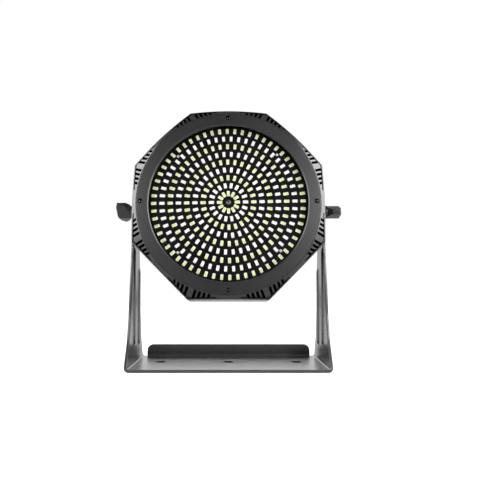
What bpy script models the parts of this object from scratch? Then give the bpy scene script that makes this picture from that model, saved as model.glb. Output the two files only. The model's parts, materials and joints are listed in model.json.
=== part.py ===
# LED par can: an octagonal lamp head that tilts in a bent sheet-metal floor stand.
#
# Metres, +Z up, the lamp shines towards -Y. The world origin is on the floor, straight under
# the tilt axis. The head is drawn level in its own frame, with the tilt axis as its X axis,
# and hangs on an empty that tilts it back as it stands at rest. In that frame a "depth" is
# measured from the front face of the bezel towards the rear.

import bpy
import bmesh
from math import atan2, ceil, cos, pi, radians, sin, sqrt, tan
from mathutils import Matrix, Vector

# General
FIT = 0.0003               # gap between pieces that touch
OVER = 0.002               # how far a cutter reaches past what it cuts
OCTANT = radians(45.0)
HALF_OCTANT = OCTANT / 2
ROUND = 48                 # sides of the large circles

# Head, overall
ACROSS_FLATS = 0.185
WALL = 0.0025
PIVOT_DEPTH = 0.0535
PIVOT_HEIGHT = 0.1557
REST_TILT = radians(4.9)

# Front shell: an octagonal wall behind a conical front
SHELL_FRONT = 0.0004
SHELL_REAR = 0.0433
CONE_RADIUS = 0.0886       # of the cone at the shell's front edge
CONE_SLOPE = 0.82          # depth gained per radius
CONE_WALL = 0.0030         # along the depth
FRONT_WALL = 0.0044        # depth at which the hollow starts
SEAT_RING_RADIUS = 0.0865  # solid ring that carries lens, board and heat spreader

# Vents in the cone: slots at each corner, with a groove along the flats outside them
GROOVE_RIM = 0.0011        # between the groove and the flats
GROOVE_WIDE = 0.0012
GROOVE_DEEP = 0.0012
GROOVE_END = 0.0113        # from the middle of a flat
SLOTS_A_SIDE = 4
SLOT_WIDE = 0.0022
SLOT_PITCH = 0.0044
SLOT_FIRST = 0.0041        # from the corner's centre line
SLOT_INNER_RADIUS = 0.0904
SLOT_PAST = 0.0016         # past the cone's wall, at the corner

# Bezel, window and gasket
BEZEL_RADIUS = 0.0880
BEZEL_THICK = 0.0022
OPENING_RADIUS = 0.0765
BEZEL_CHAMFER = 0.0010
BEZEL_SCREW_CIRCLE = 0.0843
LENS_RADIUS = 0.0820
LENS_THICK = 0.0020
GASKET_WIDE = 0.0038
GASKET_THICK = 0.0008
SEAT_RADIUS = 0.0775
SEAT_THICK = 0.0020

# Light source: the board that carries the LEDs
BOARD_RADIUS = 0.0792
BOARD_THICK = 0.0016
BOARD_CLEARANCE = 0.0011   # in front of the board, for its packages
BOARD_SCREW_CIRCLE = 0.0681
BOARD_SCREW_ANGLES = (45.3, 136.7, 225.3, 316.7)   # where gaps in rings 8 and 9 line up
WASHER_RADIUS = 0.0052
WASHER_THICK = 0.0007

# Heat spreader
SPREADER_RADIUS = 0.0840
SPREADER_THICK = 0.0030
SPREADER_SCREW_CIRCLE = 0.0820
FIN_COUNT = 11
FIN_PITCH = 0.0120
FIN_THICK = 0.0016
FIN_HIGH = 0.0120
FIN_CIRCLE = 0.0760

# Driver board, on posts of the heat spreader
DRIVER_SIZE = (0.120, 0.056)
DRIVER_THICK = 0.0016
DRIVER_CENTRE = 0.022      # above the tilt axis
DRIVER_POST = 0.0161       # above the spreader's rear face
DRIVER_POST_RADIUS = 0.0032
DRIVER_HOLE_INSET = 0.0060
DRIVER_LEAD = (-0.030, 0.004)   # where the mains lead meets the board

# Rear shell: flange, tub and the two pivot bosses
TUB_ACROSS = 0.165
TUB_REAR = 0.0840
TUB_EDGE = 0.0030
FLANGE_THICK = 0.0026
POST_RADIUS = 0.0028       # screw posts of the front shell
POST_INSET = 0.0042        # post's centre from the hollow's corner
POST_ANGLES = (67.5, 112.5, 247.5, 292.5)
BOSS_RADIUS = 0.0095
BOSS_INNER = 0.0720
BOSS_SHORT = 0.0003        # of the flats

# Control panel in the tub's rear wall
DISPLAY_SIZE = (0.036, 0.016)
DISPLAY_THICK = 0.0015
DISPLAY_HEIGHT = 0.0
BUTTON_RADIUS = 0.0032
BUTTON_TRAVEL = 0.0008
BUTTON_PROUD = 0.0012
BUTTON_PITCH = 0.016
BUTTON_HEIGHT = -0.019
BUTTON_NAMES = ("menu", "down", "up", "enter")
CONTROL_SIZE = (0.084, 0.036)
CONTROL_CENTRE = -0.009
CONTROL_SPACE = 0.0065     # between the board and the rear wall
CONTROL_THICK = 0.0016

# Sockets
SOCKET_HEIGHT = -0.047
INLET_BODY = (0.0274, 0.0198)
INLET_FLANGE = (0.038, 0.026)
INLET_DEEP = 0.0180
INLET_WELL = (0.0235, 0.0160)
INLET_WELL_DEEP = 0.0150
DMX_OFFSET = 0.0360
DMX_RADIUS = 0.0095
DMX_FLANGE = (0.023, 0.028)
DMX_DEEP = 0.0150
DMX_PIN_SUNK = 0.0052      # pin ends behind the socket's face
FLANGE_PLATE = 0.0020

# Fan
FAN_SIZE = 0.050
FAN_THICK = 0.0150
FAN_ABOVE = 0.0020         # between the control board and the fan
FAN_BORE = 0.0235
FAN_HUB = 0.0110
FAN_BLADES = 7
FAN_BLADE_CLEARANCE = 0.0010
FAN_SCREW_INSET = 0.0045
GRILLE_SLOTS = 7
GRILLE_PITCH = 0.0056
GRILLE_SLOT = 0.0030

# Clamp at each side
STUD_RADIUS = 0.0030
INSERT_RADIUS = 0.0050
FRICTION_THICK = 0.0022
FRICTION_RADIUS = 0.0090
OUTER_WASHER_THICK = 0.0015
OUTER_WASHER_RADIUS = 0.0085
KNOB_HIGH = 0.0155
KNOB_HUB_RADIUS = 0.0068
KNOB_HUB_HIGH = 0.0030
KNOB_REACH = 0.0123        # of a wing, from the stud's axis
KNOB_WIDE = 0.0135
KNOB_TURN = {"left": radians(25.0), "right": 0.0}

# Stand: one bent sheet
SHEET = 0.0030
SIDE_GAP = 0.0025          # head's flats to the arms
PLATE_DEEP = 0.104
PLATE_FRONT = -0.0425
BEND_RADIUS = 0.0050
ARM_TOP_RADIUS = 0.0120
FLARE_FRONT = (0.0135, 0.0235)   # knees of the arm's front edge, from the plate's front corner
WAIST_FRONT = (0.0195, 0.0480)
SHOULDER_FRONT = (0.0265, 0.1045)
FLARE_REAR = (0.0140, 0.0210)    # the same from the plate's rear corner
WAIST_REAR = (0.0245, 0.0500)
SHOULDER_REAR = (0.0383, 0.1060)
EDGE_FILLET = 0.030
LIP_WIDE = 0.180
LIP_HIGH = 0.0122
LIP_CORNER = 0.0065
RELIEF_WIDE = 0.0012      # notch at each end of the lip's bend
RELIEF_LONG = 0.0060
HOLE_RADIUS = 0.0054
HOLE_PITCH = 0.0692
HOLE_DEPTH = 0.052         # from the plate's front edge
BEAD_RADIUS = 0.0020
BEAD_PROUD = 0.0013
BEAD_FRONT = ((0.0415, 0.020), (0.0305, 0.112))   # ends: from the plate's front edge, above it
BEAD_REAR = ((0.0700, 0.018), (0.0640, 0.092))


# Derived places
GROOVE_OUTER = ACROSS_FLATS / 2 - GROOVE_RIM
GROOVE_INNER = GROOVE_OUTER - GROOVE_WIDE
POST_CIRCLE = (ACROSS_FLATS / 2 - WALL) / cos(HALF_OCTANT) - POST_INSET
BOSS_OUTER = ACROSS_FLATS / 2 - BOSS_SHORT
BEZEL_SEAT = BEZEL_THICK + FIT
LENS_POCKET_REAR = BEZEL_SEAT + LENS_THICK + FIT + GASKET_THICK + FIT
SEAT_REAR = LENS_POCKET_REAR + SEAT_THICK
BOARD_FRONT = SEAT_REAR + BOARD_CLEARANCE
SEAT_RING_REAR = BOARD_FRONT + BOARD_THICK
SPREADER_FRONT = SEAT_RING_REAR + FIT
SPREADER_REAR = SPREADER_FRONT + SPREADER_THICK
DRIVER_FRONT = SPREADER_REAR + DRIVER_POST + FIT
DRIVER_REAR = DRIVER_FRONT + DRIVER_THICK
TUB_INSIDE = TUB_REAR - WALL
TUB_INNER_ACROSS = TUB_ACROSS - 2 * WALL
FLANGE_FRONT = SHELL_REAR - FLANGE_THICK
POST_REAR = FLANGE_FRONT - FIT
CONTROL_DEPTH = TUB_INSIDE - CONTROL_SPACE
CONTROL_REAR = CONTROL_DEPTH + CONTROL_THICK
FAN_HEIGHT = CONTROL_CENTRE + CONTROL_SIZE[1] / 2 + FAN_ABOVE + FAN_SIZE / 2
FAN_REAR = TUB_INSIDE - FIT
FAN_FRONT = FAN_REAR - FAN_THICK
ARM_INSIDE = ACROSS_FLATS / 2 + SIDE_GAP
ARM_OUTSIDE = ARM_INSIDE + SHEET
PLATE_REAR = PLATE_FRONT + PLATE_DEEP


# Scene, collections, materials

def clear_scene():
    for thing in list(bpy.data.objects):
        bpy.data.objects.remove(thing, do_unlink=True)


def new_collection(name):
    group = bpy.data.collections.new(name)
    bpy.context.scene.collection.children.link(group)
    return group


def new_material(name, color, roughness, metallic=0.0, transmission=0.0):
    made = bpy.data.materials.new(name)
    made.use_nodes = True
    shader = made.node_tree.nodes["Principled BSDF"]
    shader.inputs["Base Color"].default_value = (*color, 1.0)
    shader.inputs["Roughness"].default_value = roughness
    shader.inputs["Metallic"].default_value = metallic
    shader.inputs["Transmission Weight"].default_value = transmission
    made.diffuse_color = (*color, 1.0)
    return made


clear_scene()
parts = new_collection("led_par_can")
cutters = new_collection("cutters")

housing_black = new_material("housing_black", (0.060, 0.062, 0.065), 0.45)
bezel_black = new_material("bezel_black", (0.070, 0.071, 0.074), 0.50)
painted_steel = new_material("painted_steel", (0.085, 0.087, 0.090), 0.40, 0.3)
knob_plastic = new_material("knob_plastic", (0.050, 0.050, 0.052), 0.55)
screw_steel = new_material("screw_steel", (0.30, 0.30, 0.31), 0.35, 1.0)
clear_window = new_material("clear_window", (0.90, 0.92, 0.94), 0.05, 0.0, 1.0)
rubber_black = new_material("rubber_black", (0.030, 0.030, 0.030), 0.80)
board_black = new_material("board_black", (0.020, 0.018, 0.025), 0.50)
board_green = new_material("board_green", (0.050, 0.180, 0.080), 0.50)
bare_aluminium = new_material("bare_aluminium", (0.70, 0.71, 0.73), 0.40, 1.0)
brass = new_material("brass", (0.72, 0.55, 0.25), 0.35, 1.0)
display_red = new_material("display_red", (0.20, 0.010, 0.010), 0.15)
lead_sheath = new_material("lead_sheath", (0.35, 0.020, 0.020), 0.60)


# Frames. Local +Z of a turned or screwed piece points along one of these.
FORWARD = Matrix.Rotation(radians(90.0), 4, "X")
BACKWARD = Matrix.Rotation(radians(-90.0), 4, "X")
OUTWARD = {1: Matrix.Rotation(radians(90.0), 4, "Y"), -1: Matrix.Rotation(radians(-90.0), 4, "Y")}


def at(depth):
    return depth - PIVOT_DEPTH


def forward(depth):
    return PIVOT_DEPTH - depth


def place(name, mesh, material, parent=None, turn=None, spot=(0, 0, 0), group=None):
    thing = bpy.data.objects.new(name, mesh)
    (group or parts).objects.link(thing)
    if material:
        mesh.materials.append(material)
    if turn is not None:
        thing.rotation_euler = turn.to_euler()
    thing.location = spot
    thing.parent = parent
    if material:
        mesh.shade_smooth()
        mesh.set_sharp_from_angle(angle=radians(30.0))
    return thing


def as_cutter(thing):
    thing.hide_render = True
    thing.display_type = "WIRE"
    return thing


def cut(target, tool, operation="DIFFERENCE"):
    modifier = target.modifiers.new(operation.lower(), "BOOLEAN")
    modifier.operation = operation
    modifier.object = as_cutter(tool)
    modifier.solver = "EXACT"


# Shapes that go into a bmesh

def block(bm, size, centre):
    scale = Matrix.Diagonal((*size, 1.0))
    return bmesh.ops.create_cube(bm, size=1.0, matrix=Matrix.Translation(centre) @ scale)["verts"]


def rod(bm, radius, start, end, segments=16, far_radius=None, spin=0.0):
    start, end = Vector(start), Vector(end)
    along = end - start
    turn = along.to_track_quat("Z", "Y").to_matrix().to_4x4() @ Matrix.Rotation(spin, 4, "Z")
    far = radius if far_radius is None else far_radius
    middle = Matrix.Translation((start + end) / 2) @ turn
    bmesh.ops.create_cone(bm, cap_ends=True, segments=segments, radius1=radius, radius2=far,
                          depth=along.length, matrix=middle)


def octagon(bm, across, front, rear):
    corner = across / 2 / cos(HALF_OCTANT)
    rod(bm, corner, (0, at(front), 0), (0, at(rear), 0), segments=8, spin=HALF_OCTANT)


def mesh_of(name, build):
    bm = bmesh.new()
    build(bm)
    bmesh.ops.recalc_face_normals(bm, faces=bm.faces)
    mesh = bpy.data.meshes.new(name)
    bm.to_mesh(mesh)
    bm.free()
    return mesh


def solid(name, build, material, parent=None, **where):
    return place(name, mesh_of(name, build), material, parent, **where)


def tool(name, build, parent=None, **where):
    return place(name, mesh_of(name, build), None, parent, group=cutters, **where)


def turned(name, profile, material, parent=None, turn=None, spot=(0, 0, 0), segments=ROUND, ring=False):
    mesh = bpy.data.meshes.new(name)
    count = len(profile)
    edges = [(i, i + 1) for i in range(count - 1)]
    if ring:
        edges.append((count - 1, 0))
    mesh.from_pydata([(radius, 0.0, height) for radius, height in profile], edges, [])
    group = parts if material else cutters
    thing = place(name, mesh, material, parent, turn, spot, group)
    screw = thing.modifiers.new("turn", "SCREW")
    screw.angle = 2 * pi
    screw.axis = "Z"
    screw.steps = screw.render_steps = segments
    screw.use_merge_vertices = True
    screw.merge_threshold = 0.00001
    screw.use_smooth_shade = bool(material)
    return thing


def depth_profile(points):
    return [(radius, forward(depth)) for radius, depth in points]


def rounded(points, radius, steps=5):
    """Outline with each corner turned into an arc; a radius may be given per corner."""
    outline = []
    count = len(points)
    for i, corner in enumerate(points):
        bend = radius[i] if isinstance(radius, (list, tuple)) else radius
        here = Vector(corner)
        before = (Vector(points[i - 1]) - here)
        after = (Vector(points[(i + 1) % count]) - here)
        half = before.angle(after) / 2
        if bend <= 0 or abs(half - pi / 2) < 1e-4:
            outline.append(here)
            continue
        reach = min(bend / tan(half), 0.49 * before.length, 0.49 * after.length)
        bend = reach * tan(half)
        first = here + before.normalized() * reach
        last = here + after.normalized() * reach
        middle = here + (before.normalized() + after.normalized()).normalized() * (bend / sin(half))
        start, stop = first - middle, last - middle
        sweep = start.angle_signed(stop)
        for step in range(steps + 1):
            turn = Matrix.Rotation(-sweep * step / steps, 2)
            outline.append(middle + turn @ start)
    return outline


def slab(name, outline, thick, material, parent=None, turn=None, spot=(0, 0, 0)):
    """A flat outline, extruded by half its thickness to each side, as a welded mesh."""
    curve = bpy.data.curves.new(name, "CURVE")
    curve.dimensions = "2D"
    curve.fill_mode = "BOTH"
    curve.extrude = thick / 2
    spline = curve.splines.new("POLY")
    spline.points.add(len(outline) - 1)
    for point, (x, y) in zip(spline.points, outline):
        point.co = (x, y, 0.0, 1.0)
    spline.use_cyclic_u = True
    return welded(curve, name, material, parent, turn, spot)


def welded(curve, name, material, parent, turn, spot):
    wire = bpy.data.objects.new(name + "_curve", curve)
    parts.objects.link(wire)
    bpy.context.view_layer.update()
    seen = wire.evaluated_get(bpy.context.evaluated_depsgraph_get())
    mesh = bpy.data.meshes.new_from_object(seen)
    mesh.name = name
    bpy.data.objects.remove(wire, do_unlink=True)
    bm = bmesh.new()
    bm.from_mesh(mesh)
    bmesh.ops.remove_doubles(bm, verts=bm.verts, dist=0.00001)
    bmesh.ops.recalc_face_normals(bm, faces=bm.faces)
    bm.to_mesh(mesh)
    bm.free()
    mesh.materials.clear()
    return place(name, mesh, material, parent, turn, spot, parts if material else cutters)


def smooth_route(points, per_stretch=2):
    route = []
    padded = [points[0]] + list(points) + [points[-1]]
    for i in range(1, len(padded) - 2):
        a, b, c, d = (Vector(padded[i + k]) for k in (-1, 0, 1, 2))
        for step in range(per_stretch):
            t = step / per_stretch
            route.append(0.5 * (2 * b + (c - a) * t + (2 * a - 5 * b + 4 * c - d) * t * t
                                + (3 * b - a - 3 * c + d) * t ** 3))
    route.append(Vector(points[-1]))
    return route


def lead(name, points, radius, parent):
    curve = bpy.data.curves.new(name, "CURVE")
    curve.dimensions = "3D"
    curve.bevel_depth = radius
    curve.bevel_resolution = 2
    curve.use_fill_caps = True
    route = smooth_route(points)
    spline = curve.splines.new("POLY")
    spline.points.add(len(route) - 1)
    for point, where in zip(spline.points, route):
        point.co = (*where, 1.0)
    return welded(curve, name, lead_sheath, parent, None, (0, 0, 0))


def screw(name, spot, turn, parent, shank, head_radius, head_high, length):
    """A screw whose head's underside is at the spot and whose head points along the turn's +Z."""
    profile = [(0.0, head_high), (head_radius * 0.7, head_high), (head_radius, head_high * 0.5),
               (head_radius, 0.0), (shank, 0.0), (shank, -length), (0.0, -length)]
    return turned(name, profile, screw_steel, parent, turn, spot, segments=8)


def on_circle(radius, angle, depth):
    return (radius * cos(angle), at(depth), radius * sin(angle))


# Front shell

def cone_profile(shift):
    """Solid of revolution that the conical front is cut to, moved back by a shift."""
    reach = ACROSS_FLATS / 2 / cos(HALF_OCTANT) + OVER - CONE_RADIUS
    front = SHELL_FRONT + shift
    lead_in = OVER
    return depth_profile([(0.0, front - lead_in), (CONE_RADIUS - lead_in / CONE_SLOPE, front - lead_in),
                          (CONE_RADIUS + reach, front + reach * CONE_SLOPE),
                          (CONE_RADIUS + reach, SHELL_REAR + OVER), (0.0, SHELL_REAR + OVER)])


def cone_depth(radius):
    return SHELL_FRONT + max(0.0, radius - CONE_RADIUS) * CONE_SLOPE


def slot_depth():
    corner = (GROOVE_INNER + GROOVE_OUTER) / 2 / cos(HALF_OCTANT)
    return cone_depth(corner) + CONE_WALL + SLOT_PAST


def corner_turn(corner):
    return Matrix.Rotation(-(HALF_OCTANT + corner * OCTANT), 4, "Y")


def vent_slots(bm):
    outer_flat = (GROOVE_INNER + GROOVE_OUTER) / 2
    for corner in range(8):
        for side in (-1, 1):
            for index in range(SLOTS_A_SIDE):
                centre = side * (SLOT_FIRST + index * SLOT_PITCH)
                for vert in block(bm, (1, 1, 1), (0, 0, 0)):
                    across = centre + vert.co.z * SLOT_WIDE
                    inner = sqrt(SLOT_INNER_RADIUS ** 2 - across ** 2)
                    outer = outer_flat / cos(HALF_OCTANT) - abs(across) * tan(HALF_OCTANT)
                    radial = inner if vert.co.x < 0 else outer
                    deep = at(-OVER) if vert.co.y < 0 else at(slot_depth())
                    vert.co = corner_turn(corner) @ Vector((radial, deep, across))


def vent_grooves(bm):
    """A strip around each corner whose floor follows the cone."""
    for corner in range(8):
        sections = []
        for side, share in ((-1, 0.0), (-1, 0.4), (-1, 0.75), (1, 1.0), (1, 0.75), (1, 0.4), (1, 0.0)):
            section = []
            for flat, floor in ((GROOVE_INNER, True), (GROOVE_INNER, False), (GROOVE_OUTER, False),
                                (GROOVE_OUTER, True)):
                along = GROOVE_END + share * (flat * tan(HALF_OCTANT) - GROOVE_END)
                radial = flat * cos(HALF_OCTANT) + along * sin(HALF_OCTANT)
                across = side * (flat * sin(HALF_OCTANT) - along * cos(HALF_OCTANT))
                deep = cone_depth(sqrt(flat ** 2 + along ** 2)) + GROOVE_DEEP if floor else -OVER
                section.append(corner_turn(corner) @ Vector((radial, at(deep), across)))
            sections.append([bm.verts.new(point) for point in section])
        for one, two in zip(sections, sections[1:]):
            for i in range(4):
                bm.faces.new((one[i - 1], one[i], two[i], two[i - 1]))
        bm.faces.new(sections[0])
        bm.faces.new(sections[-1])
    bmesh.ops.triangulate(bm, faces=bm.faces)


def front_shell(head):
    shell = solid("front_shell", lambda bm: octagon(bm, ACROSS_FLATS, SHELL_FRONT, SHELL_REAR),
                  housing_black, head)
    cut(shell, turned("shell_cone", cone_profile(0.0), None, head, FORWARD), "INTERSECT")

    hollow = tool("shell_hollow", lambda bm: octagon(bm, ACROSS_FLATS - 2 * WALL, FRONT_WALL,
                                                     SHELL_REAR + OVER), head)
    cut(hollow, turned("hollow_cone", cone_profile(CONE_WALL), None, head, FORWARD), "INTERSECT")
    cut(hollow, tool("hollow_core", lambda bm: rod(bm, SEAT_RING_RADIUS, (0, at(0), 0),
                                                   (0, at(SEAT_RING_REAR), 0), ROUND), head))
    cut(shell, hollow)

    posts = tool("shell_posts", shell_posts, head)
    cut(shell, posts, "UNION")

    steps = [(0.0, -OVER), (BEZEL_RADIUS + FIT, -OVER), (BEZEL_RADIUS + FIT, BEZEL_SEAT),
             (LENS_RADIUS + FIT, BEZEL_SEAT), (LENS_RADIUS + FIT, LENS_POCKET_REAR),
             (SEAT_RADIUS, LENS_POCKET_REAR), (SEAT_RADIUS, SEAT_REAR),
             (BOARD_RADIUS + FIT, SEAT_REAR), (BOARD_RADIUS + FIT, SEAT_RING_REAR + OVER),
             (0.0, SEAT_RING_REAR + OVER)]
    cut(shell, turned("shell_bore", depth_profile(steps), None, head, FORWARD))

    cut(shell, tool("shell_holes", shell_holes, head))
    vents = tool("vent_grooves", vent_grooves, head)
    cut(vents, tool("vent_slots", vent_slots, head), "UNION")
    cut(shell, vents)
    return shell


def shell_posts(bm):
    for angle in map(radians, POST_ANGLES):
        turn = Matrix.Rotation(-angle, 4, "Y")
        start = len(bm.verts)
        front = at(cone_depth(POST_CIRCLE) + CONE_WALL - FIT)
        rod(bm, POST_RADIUS, (POST_CIRCLE, front, 0), (POST_CIRCLE, at(POST_REAR), 0), 16)
        bm.verts.ensure_lookup_table()
        bmesh.ops.transform(bm, matrix=turn, verts=bm.verts[start:])


def shell_holes(bm):
    for quarter in range(4):
        angle = quarter * pi / 2
        rod(bm, 0.00125 + FIT, on_circle(BEZEL_SCREW_CIRCLE, angle, 0.0),
            on_circle(BEZEL_SCREW_CIRCLE, angle, 0.0090), 12)
        angle += pi / 4
        rod(bm, 0.00125 + FIT, on_circle(SPREADER_SCREW_CIRCLE, angle, 0.0068),
            on_circle(SPREADER_SCREW_CIRCLE, angle, SEAT_RING_REAR + OVER), 12)
    for angle in map(radians, POST_ANGLES):
        rod(bm, 0.00125 + FIT, on_circle(POST_CIRCLE, angle, POST_REAR - 0.009),
            on_circle(POST_CIRCLE, angle, POST_REAR + OVER), 12)


# Bezel, window, gasket and their screws

def front_bezel(head):
    chamfer = BEZEL_CHAMFER
    section = [(OPENING_RADIUS + chamfer, 0.0), (BEZEL_RADIUS - 0.0004, 0.0), (BEZEL_RADIUS, 0.0004),
               (BEZEL_RADIUS, BEZEL_THICK), (OPENING_RADIUS, BEZEL_THICK), (OPENING_RADIUS, chamfer)]
    bezel = turned("front_bezel", depth_profile(section), bezel_black, head, FORWARD, ring=True)
    cut(bezel, tool("bezel_recesses", bezel_recesses, head))
    cut(bezel, tool("bezel_holes", bezel_holes, head))
    for quarter, side in enumerate(("right", "top", "left", "bottom")):
        spot = on_circle(BEZEL_SCREW_CIRCLE, quarter * pi / 2, 0.0011)
        screw("bezel_screw_" + side, spot, FORWARD, head, 0.00125, 0.0019, 0.0009, 0.0072)


def bezel_recesses(bm):
    for quarter in range(4):
        angle = quarter * pi / 2
        rod(bm, 0.0022, on_circle(BEZEL_SCREW_CIRCLE, angle, -OVER),
            on_circle(BEZEL_SCREW_CIRCLE, angle, 0.0011 + FIT), 16)


def bezel_holes(bm):
    for quarter in range(4):
        angle = quarter * pi / 2
        rod(bm, 0.00125 + FIT, on_circle(BEZEL_SCREW_CIRCLE, angle, -OVER),
            on_circle(BEZEL_SCREW_CIRCLE, angle, BEZEL_THICK + OVER), 12)


def window_and_gasket(head):
    front = BEZEL_SEAT
    disc = [(0.0, front), (LENS_RADIUS, front), (LENS_RADIUS, front + LENS_THICK),
            (0.0, front + LENS_THICK)]
    turned("front_window", depth_profile(disc), clear_window, head, FORWARD)
    front += LENS_THICK + FIT
    outer = LENS_RADIUS - 2 * FIT
    ring = [(outer - GASKET_WIDE, front), (outer, front), (outer, front + GASKET_THICK),
            (outer - GASKET_WIDE, front + GASKET_THICK)]
    turned("window_gasket", depth_profile(ring), rubber_black, head, FORWARD, ring=True)


# Light source

def board_holes(bm):
    rod(bm, 0.0016, (0, at(BOARD_FRONT - OVER), 0), (0, at(SEAT_RING_REAR + OVER), 0), 12)
    for angle in map(radians, BOARD_SCREW_ANGLES):
        rod(bm, 0.0009 + FIT, on_circle(BOARD_SCREW_CIRCLE, angle, BOARD_FRONT - OVER),
            on_circle(BOARD_SCREW_CIRCLE, angle, SEAT_RING_REAR + OVER), 12)


def led_board(head):
    board = solid("led_board", lambda bm: rod(bm, BOARD_RADIUS, (0, at(BOARD_FRONT), 0),
                                              (0, at(SEAT_RING_REAR), 0), ROUND), board_black, head)
    cut(board, tool("board_holes", board_holes, head))

    front = BOARD_FRONT - FIT - WASHER_THICK
    ring = [(0.0016, front), (WASHER_RADIUS, front), (WASHER_RADIUS, BOARD_FRONT - FIT),
            (0.0016, BOARD_FRONT - FIT)]
    turned("centre_washer", depth_profile(ring), board_black, head, FORWARD, segments=24, ring=True)
    screw("centre_screw", (0, at(front - FIT), 0), FORWARD, head, 0.00125, 0.0024, 0.0012, 0.0052)
    for number, angle in enumerate(map(radians, BOARD_SCREW_ANGLES), 1):
        spot = on_circle(BOARD_SCREW_CIRCLE, angle, BOARD_FRONT - FIT)
        screw(f"board_screw_{number}", spot, FORWARD, head, 0.0009, 0.0014, 0.0008, 0.0040)


# Heat spreader and driver board

def driver_holes():
    wide, high = DRIVER_SIZE
    for x in (-1, 1):
        for z in (-1, 1):
            yield (x * (wide / 2 - DRIVER_HOLE_INSET),
                   DRIVER_CENTRE + z * (high / 2 - DRIVER_HOLE_INSET))


def fins(bm):
    for index in range(FIN_COUNT):
        x = (index - (FIN_COUNT - 1) / 2) * FIN_PITCH
        tall = 2 * sqrt(FIN_CIRCLE ** 2 - x ** 2)
        deep = FIN_HIGH + 0.0005
        block(bm, (FIN_THICK, deep, tall), (x, at(SPREADER_REAR + FIN_HIGH) - deep / 2, 0))
    for x, z in driver_holes():
        rod(bm, DRIVER_POST_RADIUS, (x, at(SPREADER_REAR - 0.0005), z),
            (x, at(SPREADER_REAR + DRIVER_POST), z), 16)


def spreader_holes(bm):
    front, rear = SPREADER_FRONT - OVER, SPREADER_REAR + OVER
    rod(bm, 0.00125 + FIT, (0, at(front), 0), (0, at(SPREADER_REAR - 0.0004), 0), 12)
    for angle in map(radians, BOARD_SCREW_ANGLES):
        rod(bm, 0.0009 + FIT, on_circle(BOARD_SCREW_CIRCLE, angle, front),
            on_circle(BOARD_SCREW_CIRCLE, angle, SPREADER_REAR - 0.0004), 12)
    for quarter in range(4):
        angle = pi / 4 + quarter * pi / 2
        rod(bm, 0.00125 + FIT, on_circle(SPREADER_SCREW_CIRCLE, angle, front),
            on_circle(SPREADER_SCREW_CIRCLE, angle, rear), 12)
    rod(bm, 0.0025, (FIN_PITCH / 2, at(front), -0.030), (FIN_PITCH / 2, at(rear), -0.030), 12)
    for x, z in driver_holes():
        rear = SPREADER_REAR + DRIVER_POST
        rod(bm, 0.00125 + FIT, (x, at(rear - 0.008), z), (x, at(rear + OVER), z), 12)


def heat_spreader(head):
    plate = solid("heat_spreader", lambda bm: rod(bm, SPREADER_RADIUS, (0, at(SPREADER_FRONT), 0),
                                                  (0, at(SPREADER_REAR), 0), ROUND), bare_aluminium, head)
    cut(plate, tool("fins", fins, head), "UNION")
    cut(plate, tool("spreader_holes", spreader_holes, head))
    for quarter in range(4):
        spot = on_circle(SPREADER_SCREW_CIRCLE, pi / 4 + quarter * pi / 2, SPREADER_REAR + FIT)
        screw(f"spreader_screw_{quarter + 1}", spot, BACKWARD, head, 0.00125, 0.0022, 0.0015, 0.0064)


def driver_parts(bm):
    """Transformer, two capacitors and the output terminal."""
    base = DRIVER_REAR - 0.0004
    block(bm, (0.030, 0.020, 0.026), (-0.022, at(base + 0.010), DRIVER_CENTRE + 0.004))
    for x in (0.010, 0.028):
        rod(bm, 0.0080, (x, at(base), DRIVER_CENTRE + 0.008), (x, at(base + 0.021), DRIVER_CENTRE + 0.008),
            16)
    block(bm, (0.020, 0.011, 0.009), (0.022, at(base + 0.0055), DRIVER_CENTRE - 0.016))
    block(bm, (0.010, 0.014, 0.022), (0.046, at(base + 0.007), DRIVER_CENTRE))


def driver_board(head):
    wide, high = DRIVER_SIZE
    board = solid("driver_board", lambda bm: block(bm, (wide, DRIVER_THICK, high),
                                                   (0, at((DRIVER_FRONT + DRIVER_REAR) / 2), DRIVER_CENTRE)),
                  board_green, head)

    def holes(bm):
        for x, z in driver_holes():
            rod(bm, 0.0018, (x, at(DRIVER_FRONT - OVER), z), (x, at(DRIVER_REAR + OVER), z), 12)

    cut(board, tool("driver_holes", holes, head))
    cut(board, tool("driver_parts", driver_parts, head), "UNION")
    for number, (x, z) in enumerate(driver_holes(), 1):
        screw(f"driver_screw_{number}", (x, at(DRIVER_REAR + FIT), z), BACKWARD, head,
              0.00125, 0.0024, 0.0016, 0.0080)


# Rear shell

def panel_openings(bm):
    inside, outside = at(TUB_INSIDE - OVER), at(TUB_REAR + OVER)
    middle, deep = (inside + outside) / 2, outside - inside
    wide, high = DISPLAY_SIZE
    block(bm, (wide - 0.004, deep, high - 0.004), (0, middle, DISPLAY_HEIGHT))
    for x in button_places():
        rod(bm, (BUTTON_RADIUS + FIT) / cos(pi / 12), (x, inside, BUTTON_HEIGHT),
            (x, outside, BUTTON_HEIGHT), 12)
    block(bm, (INLET_BODY[0] + 2 * FIT, deep, INLET_BODY[1] + 2 * FIT), (0, middle, SOCKET_HEIGHT))
    for side in (-1, 1):
        x = side * DMX_OFFSET
        rod(bm, DMX_RADIUS + FIT, (x, inside, SOCKET_HEIGHT), (x, outside, SOCKET_HEIGHT), 24)
    reach = FAN_BORE - 0.002
    for index in range(GRILLE_SLOTS):
        z = (index - (GRILLE_SLOTS - 1) / 2) * GRILLE_PITCH
        half = sqrt(reach ** 2 - z ** 2)
        block(bm, (2 * half, deep, GRILLE_SLOT), (0, middle, FAN_HEIGHT + z))
    for side in (-1, 1):
        offset = side * (FAN_SIZE / 2 - FAN_SCREW_INSET)
        spot = (offset, FAN_HEIGHT + offset)
        rod(bm, 0.0015 + FIT, (spot[0], inside, spot[1]), (spot[0], outside, spot[1]), 12)


def button_places():
    return [(index - 1.5) * BUTTON_PITCH for index in range(4)]


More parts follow.
